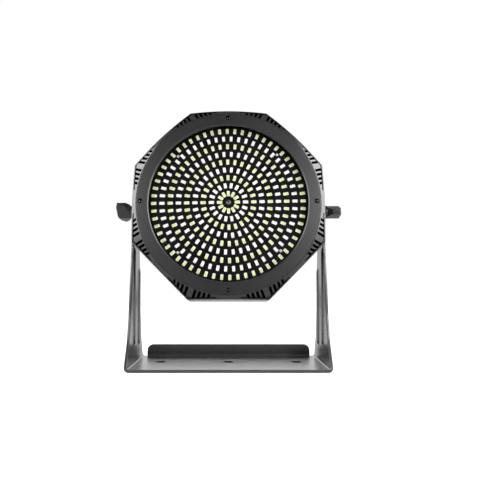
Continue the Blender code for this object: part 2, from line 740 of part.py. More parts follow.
def control_stakes():
    wide, high = CONTROL_SIZE
    for x in (-1, 1):
        for z in (-1, 1):
            yield x * (wide / 2 - 0.004), CONTROL_CENTRE + z * (high / 2 - 0.004)


def stakes(bm):
    for x, z in control_stakes():
        rod(bm, 0.0028, (x, at(CONTROL_REAR + FIT), z), (x, at(TUB_INSIDE + 0.0005), z), 8)


def stake_pins(bm):
    for x, z in control_stakes():
        rod(bm, 0.0011, (x, at(CONTROL_DEPTH - 0.0012), z), (x, at(CONTROL_REAR + 0.0015), z), 8)


def rear_tub(bm):
    octagon(bm, TUB_ACROSS, SHELL_REAR - FLANGE_THICK / 2, TUB_REAR)
    bm.edges.ensure_lookup_table()
    rim = [edge for edge in bm.edges if all(abs(v.co.y - at(TUB_REAR)) < 1e-6 for v in edge.verts)]
    bmesh.ops.bevel(bm, geom=rim, offset=TUB_EDGE, segments=2, profile=0.5, affect="EDGES")


def rear_shell(head):
    shell = solid("rear_shell", rear_tub, housing_black, head)
    flange_across = ACROSS_FLATS - 2 * (WALL + FIT)
    cut(shell, tool("rear_flange", lambda bm: octagon(bm, flange_across, FLANGE_FRONT, SHELL_REAR), head),
        "UNION")
    for side in (-1, 1):
        cut(shell, tool(f"boss_{side}", lambda bm, s=side: rod(bm, BOSS_RADIUS, (s * BOSS_INNER, 0, 0),
                                                               (s * BOSS_OUTER, 0, 0), 32), head), "UNION")
    hollow = tool("tub_hollow", lambda bm: octagon(bm, TUB_INNER_ACROSS, FLANGE_FRONT - OVER, TUB_INSIDE),
                  head)
    for side in (-1, 1):
        keep = tool(f"boss_keep_{side}", lambda bm, s=side: rod(bm, BOSS_RADIUS - 0.0002,
                    (s * BOSS_INNER, 0, 0), (s * (BOSS_OUTER - 0.004), 0, 0), 32), head)
        cut(hollow, keep)
    cut(shell, hollow)
    cut(shell, tool("stakes", stakes, head), "UNION")
    cut(shell, tool("stake_pins", stake_pins, head), "UNION")
    cut(shell, tool("panel_openings", panel_openings, head))
    wide, high = DISPLAY_SIZE
    recess = tool("display_recess", lambda bm: block(
        bm, (wide + 2 * FIT, 0.004, high + 2 * FIT),
        (0, at(TUB_REAR - DISPLAY_THICK - FIT + 0.002), DISPLAY_HEIGHT)), head)
    cut(shell, recess)

    def bores(bm):
        for side in (-1, 1):
            rod(bm, INSERT_RADIUS + FIT, (side * (BOSS_INNER - OVER), 0, 0), (side * (BOSS_OUTER + OVER), 0, 0),
                24)
        for angle in map(radians, POST_ANGLES):
            rod(bm, 0.00125 + FIT, on_circle(POST_CIRCLE, angle, FLANGE_FRONT - OVER),
                on_circle(POST_CIRCLE, angle, SHELL_REAR + OVER), 12)

    cut(shell, tool("rear_bores", bores, head))
    for number, angle in enumerate(map(radians, POST_ANGLES), 1):
        spot = on_circle(POST_CIRCLE, angle, SHELL_REAR + FIT)
        screw(f"rear_screw_{number}", spot, BACKWARD, head, 0.00125, 0.0025, 0.0016, 0.0105)


# Control panel

def control_panel(head):
    wide, high = CONTROL_SIZE
    board = solid("control_board", lambda bm: block(bm, (wide, CONTROL_THICK, high),
                                                    (0, at((CONTROL_DEPTH + CONTROL_REAR) / 2), CONTROL_CENTRE)),
                  board_green, head)

    def holes(bm):
        for x, z in control_stakes():
            rod(bm, 0.0011 + FIT, (x, at(CONTROL_DEPTH - OVER), z), (x, at(CONTROL_REAR + OVER), z), 8)

    def fittings(bm):
        block(bm, (0.030, 0.0052, 0.0105), (0, at(CONTROL_REAR + 0.0022), DISPLAY_HEIGHT))
        for x in button_places():
            block(bm, (0.006, 0.0028, 0.006), (x, at(CONTROL_REAR + 0.0010), BUTTON_HEIGHT))

    cut(board, tool("control_holes", holes, head))
    cut(board, tool("control_fittings", fittings, head), "UNION")

    wide, high = DISPLAY_SIZE
    solid("display_window", lambda bm: block(bm, (wide, DISPLAY_THICK, high),
                                             (0, at(TUB_REAR - DISPLAY_THICK / 2), DISPLAY_HEIGHT)),
          display_red, head)
    for x, word in zip(button_places(), BUTTON_NAMES):
        push_button("button_" + word, x, head)


def push_button(name, x, head):
    """Cap through the rear wall, a flange that keeps it in, and a stem over its switch."""
    top = TUB_REAR + BUTTON_PROUD
    under = TUB_INSIDE - FIT
    flange = under - 0.0010
    stem = CONTROL_REAR + 0.0024 + BUTTON_TRAVEL + 0.0002
    radius = BUTTON_RADIUS
    profile = [(0.0, top), (radius - 0.0005, top), (radius, top - 0.0005), (radius, under),
               (radius + 0.0012, under), (radius + 0.0012, flange), (0.0018, flange), (0.0018, stem),
               (0.0, stem)]
    spot = (x, at(TUB_REAR), BUTTON_HEIGHT)
    turned(name, [(r, depth - TUB_REAR) for r, depth in profile], rubber_black, head, BACKWARD, spot,
           segments=12)


# Sockets

def socket_plate(name, wide, high, x, body, material, head):
    plate_middle = at(TUB_REAR + FIT + FLANGE_PLATE / 2)
    corner = 0.0030
    outline = rounded([(-wide / 2, -high / 2), (wide / 2, -high / 2), (wide / 2, high / 2),
                       (-wide / 2, high / 2)], corner, steps=3)
    plate = slab(name, outline, FLANGE_PLATE, material, head, FORWARD, (x, plate_middle, SOCKET_HEIGHT))
    cut(plate, tool(name + "_body", body, head), "UNION")
    return plate


def power_inlet(head):
    front = TUB_REAR - INLET_DEEP
    rear = TUB_REAR + FIT + FLANGE_PLATE

    def body(bm):
        block(bm, (INLET_BODY[0], at(rear - 0.0005) - at(front), INLET_BODY[1]),
              (0, (at(front) + at(rear - 0.0005)) / 2, SOCKET_HEIGHT))

    inlet = socket_plate("power_inlet", *INLET_FLANGE, 0.0, body, rubber_black, head)

    def well(bm):
        wide, high = INLET_WELL
        block(bm, (wide, INLET_WELL_DEEP + OVER, high),
              (0, at(rear) - (INLET_WELL_DEEP - OVER) / 2, SOCKET_HEIGHT))
        upper = [edge for edge in bm.edges if all(vert.co.z > SOCKET_HEIGHT for vert in edge.verts)
                 and abs(edge.verts[0].co.y - edge.verts[1].co.y) > INLET_WELL_DEEP / 2]
        bmesh.ops.bevel(bm, geom=upper, offset=0.0045, segments=1, profile=0.5, affect="EDGES")

    def pins(bm):
        for x, z in ((-0.007, -0.0025), (0.0, 0.0025), (0.007, -0.0025)):
            block(bm, (0.0020, 0.0125, 0.0042), (x, at(rear - INLET_WELL_DEEP + 0.0055), SOCKET_HEIGHT + z))

    cut(inlet, tool("inlet_well", well, head))
    cut(inlet, tool("inlet_pins", pins, head), "UNION")


def dmx_socket(name, side, pins_out, head):
    x = side * DMX_OFFSET
    front = TUB_REAR - DMX_DEEP
    rear = TUB_REAR + FIT + FLANGE_PLATE

    def body(bm):
        rod(bm, DMX_RADIUS, (x, at(front), SOCKET_HEIGHT), (x, at(rear - 0.0005), SOCKET_HEIGHT), 24)

    socket = socket_plate(name, *DMX_FLANGE, x, body, rubber_black, head)
    spread = [(0.0035 * cos(a), 0.0035 * sin(a)) for a in (radians(150), radians(30), radians(270))]

    def ring_well(bm):
        rod(bm, 0.0078, (x, at(rear - 0.012), SOCKET_HEIGHT), (x, at(rear + OVER), SOCKET_HEIGHT), 24)

    def pins(bm):
        for dx, dz in spread:
            rod(bm, 0.0012, (x + dx, at(rear - 0.0125), SOCKET_HEIGHT + dz),
                (x + dx, at(rear - DMX_PIN_SUNK), SOCKET_HEIGHT + dz), 8)

    def holes(bm):
        for dx, dz in spread:
            rod(bm, 0.0014, (x + dx, at(rear - 0.010), SOCKET_HEIGHT + dz),
                (x + dx, at(rear + OVER), SOCKET_HEIGHT + dz), 8)

    if pins_out:
        cut(socket, tool(name + "_well", ring_well, head))
        cut(socket, tool(name + "_pins", pins, head), "UNION")
    else:
        cut(socket, tool(name + "_holes", holes, head))


# Fan

def fan(head):
    middle = (0, at((FAN_FRONT + FAN_REAR) / 2), FAN_HEIGHT)
    frame = solid("fan_frame", lambda bm: block(bm, (FAN_SIZE, FAN_THICK, FAN_SIZE), middle),
                  rubber_black, head)
    stator_front = FAN_REAR - 0.0020
    blade_front, blade_rear = FAN_FRONT + 0.0015, stator_front - FIT - 0.0003

    def bore(bm):
        rod(bm, FAN_BORE, (0, at(FAN_FRONT - OVER), FAN_HEIGHT), (0, at(FAN_REAR + OVER), FAN_HEIGHT), 48)

    def stator(bm):
        rod(bm, FAN_HUB, (0, at(stator_front), FAN_HEIGHT), (0, at(FAN_REAR), FAN_HEIGHT), 24)

    def struts(bm):
        for index in range(3):
            angle = pi / 2 + index * 2 * pi / 3
            start = len(bm.verts)
            block(bm, (FAN_BORE - FAN_HUB + 0.003, 0.0018, 0.0024),
                  ((FAN_BORE + FAN_HUB) / 2, at(FAN_REAR - 0.0010), 0))
            bm.verts.ensure_lookup_table()
            lift = Matrix.Translation((0, 0, FAN_HEIGHT)) @ Matrix.Rotation(-angle, 4, "Y")
            bmesh.ops.transform(bm, matrix=lift, verts=bm.verts[start:])

    def axle(bm):
        rod(bm, 0.0015, (0, at(stator_front - 0.007), FAN_HEIGHT), (0, at(stator_front + 0.0005), FAN_HEIGHT),
            12)

    def holes(bm):
        for side in (-1, 1):
            offset = side * (FAN_SIZE / 2 - FAN_SCREW_INSET)
            rod(bm, 0.0015 + FIT, (offset, at(FAN_REAR - 0.010), FAN_HEIGHT + offset),
                (offset, at(FAN_REAR + OVER), FAN_HEIGHT + offset), 12)

    cut(frame, tool("fan_bore", bore, head))
    cut(frame, tool("fan_stator", stator, head), "UNION")
    cut(frame, tool("fan_struts", struts, head), "UNION")
    cut(frame, tool("fan_axle", axle, head), "UNION")
    cut(frame, tool("fan_holes", holes, head))

    hub = [(0.0, -blade_front), (FAN_HUB - 0.001, -blade_front), (FAN_HUB, -blade_front - 0.001),
           (FAN_HUB, -blade_rear), (0.0018, -blade_rear), (0.0018, -blade_rear + 0.0075),
           (0.0, -blade_rear + 0.0075)]
    rotor = turned("fan_rotor", [(r, z + PIVOT_DEPTH) for r, z in hub], rubber_black, head, FORWARD,
                   (0, 0, FAN_HEIGHT), segments=24)

    def blades(bm):
        reach = FAN_BORE - FAN_BLADE_CLEARANCE
        length = reach - FAN_HUB + 0.001
        for index in range(FAN_BLADES):
            start = len(bm.verts)
            block(bm, (length, 0.0012, 0.0095), (reach - length / 2, 0, 0))
            bm.verts.ensure_lookup_table()
            pitch = Matrix.Rotation(radians(38.0), 4, "X")
            lift = Matrix.Translation((0, at((blade_front + blade_rear) / 2), FAN_HEIGHT))
            spin = Matrix.Rotation(index * 2 * pi / FAN_BLADES, 4, "Y")
            bmesh.ops.transform(bm, matrix=lift @ spin @ pitch, verts=bm.verts[start:])

    cut(rotor, tool("fan_blades", blades, head), "UNION")
    for side, word in ((-1, "lower"), (1, "upper")):
        offset = side * (FAN_SIZE / 2 - FAN_SCREW_INSET)
        screw("fan_screw_" + word, (offset, at(TUB_REAR + FIT), FAN_HEIGHT + offset), BACKWARD, head,
              0.0015, 0.0027, 0.0016, 0.0105)


# Leads inside the head

def leads(head):
    x = FIN_PITCH / 2
    start, end = SEAT_RING_REAR + FIT, DRIVER_FRONT - FIT
    route = [(start, -0.030), (start + 0.002, -0.030), (start + 0.004, -0.030), (start + 0.0091, -0.024),
             (start + 0.0126, -0.006), (end - 0.003, 0.006), (end - 0.0015, 0.006), (end, 0.006)]
    lead("led_lead", [(x, at(depth), z) for depth, z in route], 0.0016, head)
    start, end = TUB_REAR - INLET_DEEP - FIT, DRIVER_REAR + FIT
    x, low = DRIVER_LEAD
    route = [(0.0, start, SOCKET_HEIGHT), (0.0, start - 0.002, SOCKET_HEIGHT),
             (0.0, start - 0.004, SOCKET_HEIGHT), (0.35 * x, start - 0.0137, -0.034),
             (0.8 * x, end + 0.0118, -0.014),
             (x, end + 0.004, low), (x, end + 0.002, low), (x, end, low)]
    lead("mains_lead", [(across, at(depth), z) for across, depth, z in route], 0.0024, head)


# Clamp: insert, washers, stud and wing knob on each side

def clamp(side, word, head):
    turn = OUTWARD[side]
    bore = STUD_RADIUS + FIT
    insert_outer = BOSS_OUTER - FIT
    friction = BOSS_OUTER + FIT
    outer_washer = ARM_OUTSIDE + FIT
    knob_base = outer_washer + OUTER_WASHER_THICK + FIT

    def ring(name, inner, outer, low, high, material, segments=24):
        section = [(inner, high), (outer, high), (outer, low), (inner, low)]
        return turned(name, section, material, head, turn, segments=segments, ring=True)

    ring("pivot_insert_" + word, bore, INSERT_RADIUS, BOSS_INNER, insert_outer, brass, 24)
    ring("friction_washer_" + word, bore, FRICTION_RADIUS, friction, ARM_INSIDE - FIT, rubber_black)
    ring("outer_washer_" + word, bore, OUTER_WASHER_RADIUS, outer_washer, outer_washer + OUTER_WASHER_THICK,
         screw_steel)

    stud_end = knob_base + KNOB_HIGH - 0.006
    section = [(0.0, stud_end), (STUD_RADIUS, stud_end), (STUD_RADIUS, BOSS_INNER + 0.002),
               (STUD_RADIUS - 0.0006, BOSS_INNER + 0.001), (0.0, BOSS_INNER + 0.001)]
    turned("knob_stud_" + word, section, screw_steel, head, turn, segments=24)
    wing_knob("knob_" + word, side, knob_base, KNOB_TURN[word], bore, stud_end, head)


def wing_knob(name, side, base, turn_angle, bore, stud_end, head):
    """Round hub, and a bar that widens from the hub to a blunt outer face."""
    hub = [(0.0, base + KNOB_HUB_HIGH), (KNOB_HUB_RADIUS, base + KNOB_HUB_HIGH), (KNOB_HUB_RADIUS, base),
           (0.0, base)]
    knob = turned(name, hub, knob_plastic, head, OUTWARD[side], segments=32)

    def wings(bm):
        low, high = base + KNOB_HUB_HIGH - 0.001, base + KNOB_HIGH
        shoulder = base + KNOB_HIGH * 0.42
        verts = block(bm, (high - low, 2 * KNOB_REACH, KNOB_WIDE), ((low + high) / 2, 0, 0))
        inner = [vert for vert in verts if vert.co.x < (low + high) / 2]
        for vert in inner:
            vert.co.y *= KNOB_HUB_RADIUS * 0.92 / KNOB_REACH
            vert.co.z *= 0.45
        bmesh.ops.bisect_plane(bm, geom=bm.verts[:] + bm.edges[:] + bm.faces[:],
                               plane_co=(shoulder, 0, 0), plane_no=(1, 0, 0))
        for vert in bm.verts:
            if abs(vert.co.x - shoulder) < 1e-6:
                vert.co.y = KNOB_REACH * (1 if vert.co.y > 0 else -1)
                vert.co.z = KNOB_WIDE / 2 * (1 if vert.co.z > 0 else -1)
        ends = [edge for edge in bm.edges if all(v.co.x > high - 1e-6 for v in edge.verts)
                or abs(edge.verts[0].co.x - edge.verts[1].co.x) > 0.004 and edge.verts[0].co.x > shoulder - 1e-6
                and edge.verts[1].co.x > shoulder - 1e-6]
        bmesh.ops.bevel(bm, geom=ends, offset=0.0022, segments=3, profile=0.5, affect="EDGES")
        spin = Matrix.Rotation(-turn_angle, 4, "X")
        flip = Matrix.Diagonal((side, 1, 1, 1))
        bmesh.ops.transform(bm, matrix=flip @ spin, verts=bm.verts)

    def socket(bm):
        rod(bm, bore, (side * (base - OVER), 0, 0), (side * (stud_end + FIT), 0, 0), 24)

    cut(knob, tool(name + "_wings", wings, head), "UNION")
    cut(knob, tool(name + "_socket", socket, head))


# Stand

def arm_outline():
    """Side view of an arm, drawn as (towards the rear, up) from the world origin."""
    floor = SHEET
    front, rear = PLATE_FRONT, PLATE_REAR
    top = []
    reach = ARM_TOP_RADIUS
    up_front = [(front + across, floor + up) for across, up in (FLARE_FRONT, WAIST_FRONT, SHOULDER_FRONT)]
    up_rear = [(rear - across, floor + up) for across, up in (FLARE_REAR, WAIST_REAR, SHOULDER_REAR)]

    def touch(point, sign):
        """Angle on the top circle where a line from the point touches it."""
        away = Vector(point) - Vector((0.0, PIVOT_HEIGHT))
        spread = atan2(away.y, away.x)
        return spread + sign * pi / 2 - sign * atan2(reach, sqrt(away.length_squared - reach ** 2))

    first, last = touch(up_front[-1], -1), touch(up_rear[-1], 1)
    first += 2 * pi if first < 0 else 0
    steps = ceil((first - last) / radians(15.0))
    for step in range(steps + 1):
        angle = first + (last - first) * step / steps
        top.append((reach * cos(angle), PIVOT_HEIGHT + reach * sin(angle)))
    low = [(rear, -OVER), (front, -OVER), (front, floor)]
    points = low + up_front + top + up_rear[::-1] + [(rear, floor)]
    bends = [0, 0, 0] + [EDGE_FILLET] * 3 + [0] * len(top) + [EDGE_FILLET] * 3 + [0]
    return rounded(points, bends, steps=3)


def bent_section():
    """The sheet's U, seen from the front."""
    outer, inner, height = ARM_OUTSIDE, ARM_INSIDE, PIVOT_HEIGHT + ARM_TOP_RADIUS + OVER
    points = [(-outer, 0.0), (outer, 0.0), (outer, height), (inner, height), (inner, SHEET),
              (-inner, SHEET), (-inner, height), (-outer, height)]
    bends = [BEND_RADIUS, BEND_RADIUS, 0, 0, BEND_RADIUS - SHEET, BEND_RADIUS - SHEET, 0, 0]
    return rounded(points, bends, steps=6)


def bead(name, ends, radius, x, side):
    low, high = (Vector((x * side, PLATE_FRONT + y, SHEET + z)) for y, z in ends)
    length = (high - low).length
    arc = [(radius * sin(a), radius * cos(a)) for a in (0.0, pi / 4, pi / 2)]
    profile = [(r, length + h) for r, h in arc] + [(r, -h) for r, h in reversed(arc)]
    turn = (high - low).to_track_quat("Z", "X").to_matrix().to_4x4()
    return turned(name, profile, None, None, turn, low, segments=12)


def stand():
    middle = (PLATE_FRONT + PLATE_REAR) / 2
    frame = slab("stand_bracket", bent_section(), PLATE_DEEP, painted_steel, None,
                 Matrix.Rotation(radians(90.0), 4, "X"), (0, middle, 0))
    side_view = Matrix.Rotation(radians(90.0), 4, "Z") @ Matrix.Rotation(radians(90.0), 4, "X")
    cut(frame, slab("arm_outline", arm_outline(), 2 * ARM_OUTSIDE + 4 * OVER, None, None, side_view),
        "INTERSECT")

    half, top = LIP_WIDE / 2, SHEET + LIP_HIGH
    face = rounded([(-half, 0.0), (half, 0.0), (half, top), (-half, top)], [0, 0, LIP_CORNER, LIP_CORNER], 6)
    cut(frame, slab("rear_lip", face, SHEET, None, None, Matrix.Rotation(radians(90.0), 4, "X"),
                    (0, PLATE_REAR - SHEET / 2, 0)), "UNION")
    lip_bends(frame)

    def holes(bm):
        y = PLATE_FRONT + HOLE_DEPTH
        for index in (-1, 0, 1):
            rod(bm, HOLE_RADIUS, (index * HOLE_PITCH, y, -OVER), (index * HOLE_PITCH, y, SHEET + OVER), 32)
        for side in (-1, 1):
            rod(bm, STUD_RADIUS + 2 * FIT, (side * (ARM_INSIDE - OVER), 0, PIVOT_HEIGHT),
                (side * (ARM_OUTSIDE + OVER), 0, PIVOT_HEIGHT), 24)

    for side, word in ((-1, "left"), (1, "right")):
        for name, ends in (("front", BEAD_FRONT), ("rear", BEAD_REAR)):
            ridge = ARM_INSIDE - BEAD_PROUD + BEAD_RADIUS
            cut(frame, bead(f"bead_{name}_{word}", ends, BEAD_RADIUS, ridge, side), "UNION")
            groove = ARM_OUTSIDE - BEAD_PROUD + BEAD_RADIUS - 0.0003
            cut(frame, bead(f"groove_{name}_{word}", ends, BEAD_RADIUS - 0.0003, groove, side))
    cut(frame, tool("stand_holes", holes))


def lip_bends(frame):
    """Rounds the bend under the rear lip outside and inside, with a relief notch at each end."""
    rear = PLATE_REAR
    for name, radius, y, z, operation in (("outer", BEND_RADIUS, rear, 0.0, "DIFFERENCE"),
                                          ("inner", BEND_RADIUS - SHEET, rear - SHEET, SHEET, "UNION")):
        over = OVER if operation == "DIFFERENCE" else 0.0005
        corner = tool(f"lip_{name}_corner", lambda bm: block(
            bm, (LIP_WIDE, radius + over, radius + over),
            (0, y - radius + (radius + over) / 2, z + radius - (radius + over) / 2)))
        roll = tool(f"lip_{name}_roll", lambda bm: rod(
            bm, radius, (-LIP_WIDE / 2 - OVER, y - radius, z + radius),
            (LIP_WIDE / 2 + OVER, y - radius, z + radius), 32))
        cut(corner, roll)
        cut(frame, corner, operation)

    def notches(bm):
        for side in (-1, 1):
            block(bm, (RELIEF_WIDE, 2 * RELIEF_LONG, 0.05), (side * (LIP_WIDE + RELIEF_WIDE) / 2, rear, 0))

    cut(frame, tool("lip_notches", notches))


def build():
    head = bpy.data.objects.new("head_frame", None)
    parts.objects.link(head)
    head.location = (0, 0, PIVOT_HEIGHT)
    head.rotation_euler = (-REST_TILT, 0, 0)
    front_shell(head)
    front_bezel(head)
    window_and_gasket(head)
    led_board(head)
    heat_spreader(head)
    driver_board(head)
    rear_shell(head)
    control_panel(head)
    power_inlet(head)
    dmx_socket("dmx_input", -1, True, head)
    dmx_socket("dmx_output", 1, False, head)
    fan(head)
    leads(head)
    clamp(-1, "left", head)
    clamp(1, "right", head)
    stand()


build()
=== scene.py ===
import json
import math

import bmesh
import bpy
from mathutils import Matrix, Vector


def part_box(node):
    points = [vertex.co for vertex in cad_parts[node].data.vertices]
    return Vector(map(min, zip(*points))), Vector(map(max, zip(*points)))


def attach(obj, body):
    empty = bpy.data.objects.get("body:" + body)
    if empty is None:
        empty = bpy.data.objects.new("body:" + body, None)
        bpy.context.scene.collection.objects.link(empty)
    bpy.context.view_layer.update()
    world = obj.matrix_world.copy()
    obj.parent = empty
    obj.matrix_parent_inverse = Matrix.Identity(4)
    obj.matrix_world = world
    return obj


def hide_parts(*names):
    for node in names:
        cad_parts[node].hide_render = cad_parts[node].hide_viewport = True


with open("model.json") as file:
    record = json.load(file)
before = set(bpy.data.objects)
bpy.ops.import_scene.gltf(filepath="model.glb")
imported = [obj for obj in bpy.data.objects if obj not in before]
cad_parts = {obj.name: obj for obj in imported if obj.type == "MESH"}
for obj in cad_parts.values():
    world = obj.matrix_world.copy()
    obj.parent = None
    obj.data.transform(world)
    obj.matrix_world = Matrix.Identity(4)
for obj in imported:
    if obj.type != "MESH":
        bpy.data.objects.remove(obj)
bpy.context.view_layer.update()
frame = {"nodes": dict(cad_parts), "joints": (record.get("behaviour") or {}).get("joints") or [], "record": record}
print("frame loaded,", len(frame["nodes"]), "nodes")

mm = 0.001
hair = 1e-6                     # two places closer than this are one
quarter = math.pi / 2
octant = math.pi / 4
cosHalf, sinHalf, tanHalf = math.cos(octant / 2), math.sin(octant / 2), math.tan(octant / 2)
nodes = frame["nodes"]
record = frame["record"]
mounts = {mount["name"]: mount for mount in record["mounts"]}
joints = {joint["name"]: joint for joint in frame["joints"]}


def translation(x, y, z):
    return Matrix.Translation((x, y, z))


def rotation(angle, axis="Z"):
    return Matrix.Rotation(angle, 4, axis)


# The head leans back at rest. In the lamp's own frame +Z points out of the window, +Y is the
# head's up, and z is minus the depth behind the bezel's face.
pivot = Vector(joints["head_tilt"]["pos_m"])
facing = Vector(mounts["bezel_face"]["axis"])
lean = math.atan2(facing.z, -facing.y)
pivotDepth = (Vector(mounts["bezel_face"]["pos_m"]) - pivot).dot(facing)
headPlace = translation(*pivot) @ rotation(-lean, "X")
lampPlace = headPlace @ rotation(quarter, "X") @ translation(0, 0, pivotDepth)
sideTurn = {-1: rotation(-quarter, "Y"), 1: rotation(quarter, "Y")}
behind = rotation(math.pi, "Y")   # for a screw that faces the rear


def lampBox(node):   # lowest and highest corner of a CAD node in the lamp's own frame
    back = lampPlace.inverted()
    points = [back @ vert.co for vert in nodes[node].data.vertices]
    return Vector(map(min, *points)), Vector(map(max, *points))


def atSpot(node, front=True):   # a node's axis in the lamp's frame, at its front or rear end
    low, high = lampBox(node)
    return Vector(((low.x + high.x) / 2, (low.y + high.y) / 2, high.z if front else low.z))


# Node helpers

def fill(tree, node, inputs):   # links the sockets that are given, and sets the plain values
    for key, value in inputs.items():
        if isinstance(value, bpy.types.NodeSocket):
            tree.links.new(value, node.inputs[key])
        else:
            node.inputs[key].default_value = value


def addNode(tree, kind, inputs=None, **settings):   # gives the outputs of the new node
    node = tree.nodes.new("ShaderNode" + kind)
    for key, value in settings.items():
        setattr(node, key, value)
    fill(tree, node, inputs or {})
    return node.outputs


def mathNode(tree, operation, first, second=0.5, third=0.0, clamp=False):
    inputs = {0: first, 1: second, 2: third}
    return addNode(tree, "Math", inputs, operation=operation, use_clamp=clamp)[0]


def noise(tree, where, scale, detail, rough=0.5):
    inputs = {"Vector": where, "Scale": scale, "Detail": detail, "Roughness": rough}
    return addNode(tree, "TexNoise", inputs)["Fac"]


def ranged(tree, value, fromRange=(0.0, 1.0), toRange=(0.0, 1.0)):
    inputs = {"Value": value, "From Min": fromRange[0], "From Max": fromRange[1],
              "To Min": toRange[0], "To Max": toRange[1]}
    return addNode(tree, "MapRange", inputs)[0]


def blendColour(tree, share, first, second):
    ends = [value if isinstance(value, bpy.types.NodeSocket) else (*value, 1) for value in (first, second)]
    return addNode(tree, "Mix", {0: share, 6: ends[0], 7: ends[1]}, data_type="RGBA")[2]


def newGroup(name, inputs, outputs):
    group = bpy.data.node_groups.new(name, "ShaderNodeTree")
    for label, value in {"Vector": (0, 0, 0), **inputs}.items():
        kind = "NodeSocketVector" if isinstance(value, tuple) else "NodeSocketFloat"
        socket = group.interface.new_socket(name=label, in_out="INPUT", socket_type=kind)
        socket.default_value = value
    for label in outputs:
        group.interface.new_socket(name=label, in_out="OUTPUT", socket_type="NodeSocketFloat")
    return group, group.nodes.new("NodeGroupInput").outputs, group.nodes.new("NodeGroupOutput")


def useGroup(tree, group, **inputs):
    return addNode(tree, "Group", inputs, node_tree=group)


# Effects that several finishes share

effectSizes = {
    "pits": (3.0, 0.65),        # detail and roughness; the scale is each finish's own
    "mottle": (34.0, 5.0),      # scale and detail, and roughness where it isn't 0.5
    "chips": (260.0, 6.0, 0.7),
    "drifts": (60.0, 8.0, 0.7),
    "marks": (160.0, 4.0),
    "streaks": (120.0, 3.0),
    "haze": (55.0, 6.0),
    "grit": (2200.0, 3.0),
    "lots": 230.0,
    "lotShare": 0.8,
    "gritShare": 0.35,
    "gritBump": (0.3, 0.03 * mm),   # strength and height
    "markBump": (0.4, 0.02 * mm),
    "grainBump": 0.5,
    "metalWear": (0.3 * mm, 0.6),
    "metalShine": (1.5, 0.05),      # gain and lift of a rubbed edge
    "edgeStart": 0.97,          # below this the two normals differ enough for a worn edge
    "edgeGain": 6.0,
    "chipRange": (0.42, 0.66),
    "upRange": (0.3, 1.0),
    "driftRange": (0.35, 0.75),
    "dustColour": (0.42, 0.41, 0.39),
    "rubbedRough": -0.12,       # what rubbing and dust add to the roughness
    "dustRough": 0.6,
}


# Fine texture of a moulded or powder-coated surface, with a soft mottle
def makeGrain():
    group, given, out = newGroup("surfaceGrain", {"Scale": 900.0, "Pits": 0.5}, ("Height", "Mottle"))
    where, scale = given["Vector"], given["Scale"]
    fine = noise(group, where, scale, *effectSizes["pits"])
    cells = addNode(group, "TexVoronoi", {"Vector": where, "Scale": scale}, feature="SMOOTH_F1")
    inputs = {0: given["Pits"], 2: fine, 3: cells["Distance"]}
    height = addNode(group, "Mix", inputs, data_type="FLOAT")[0]
    fill(group, out, {"Height": height, "Mottle": noise(group, where, *effectSizes["mottle"])})
    return group


# Worn edges: where a softened normal leaves the true one, broken up by noise
def makeWear():
    group, given, out = newGroup("edgeWear", {"Radius": 0.0006, "Amount": 0.5}, ["Mask"])
    soft = addNode(group, "Bevel", {"Radius": given["Radius"]}, samples=4)[0]
    true = addNode(group, "NewGeometry")["Normal"]
    along = addNode(group, "VectorMath", {0: soft, 1: true}, operation="DOT_PRODUCT")["Value"]
    apart = mathNode(group, "SUBTRACT", effectSizes["edgeStart"], along)
    edge = mathNode(group, "MULTIPLY", apart, effectSizes["edgeGain"], clamp=True)
    chips = ranged(group, noise(group, given["Vector"], *effectSizes["chips"]), effectSizes["chipRange"])
    worn = mathNode(group, "MULTIPLY", edge, chips)
    fill(group, out, {"Mask": mathNode(group, "MULTIPLY", worn, given["Amount"], clamp=True)})
    return group


# Thin dust on what faces up
def makeDust():
    group, given, out = newGroup("restingDust", {"Amount": 0.1}, ["Mask"])
    true = addNode(group, "NewGeometry")["Normal"]
    up = addNode(group, "SeparateXYZ", {0: true})["Z"]
    drifts = ranged(group, noise(group, given["Vector"], *effectSizes["drifts"]), effectSizes["driftRange"])
    both = mathNode(group, "MULTIPLY", ranged(group, up, effectSizes["upRange"]), drifts)
    fill(group, out, {"Mask": mathNode(group, "MULTIPLY", both, given["Amount"], clamp=True)})
    return group


# Fine tool marks of turned or rolled metal
def makeTurning():
    group, given, out = newGroup("toolMarks", {"Stretch": (1, 1, 40)}, ("Height", "Streak"))
    inputs = {0: given["Vector"], 1: given["Stretch"]}
    drawn = addNode(group, "VectorMath", inputs, operation="MULTIPLY")[0]
    fill(group, out, {"Height": noise(group, drawn, *effectSizes["marks"]),
                      "Streak": noise(group, given["Vector"], *effectSizes["streaks"])})
    return group


grainGroup = makeGrain()
wearGroup = makeWear()
dustGroup = makeDust()
turningGroup = makeTurning()


# Finishes

def newMaterial(name, shown):
    material = bpy.data.materials.new(name)
    material.use_nodes = True
    material.diffuse_color = (*shown, 1)
    tree = material.node_tree
    return material, tree, tree.nodes["Principled BSDF"], addNode(tree, "TexCoord")["Object"]


def bumped(tree, height, strength, distance):
    return addNode(tree, "Bump", {"Height": height, "Strength": strength, "Distance": distance})[0]


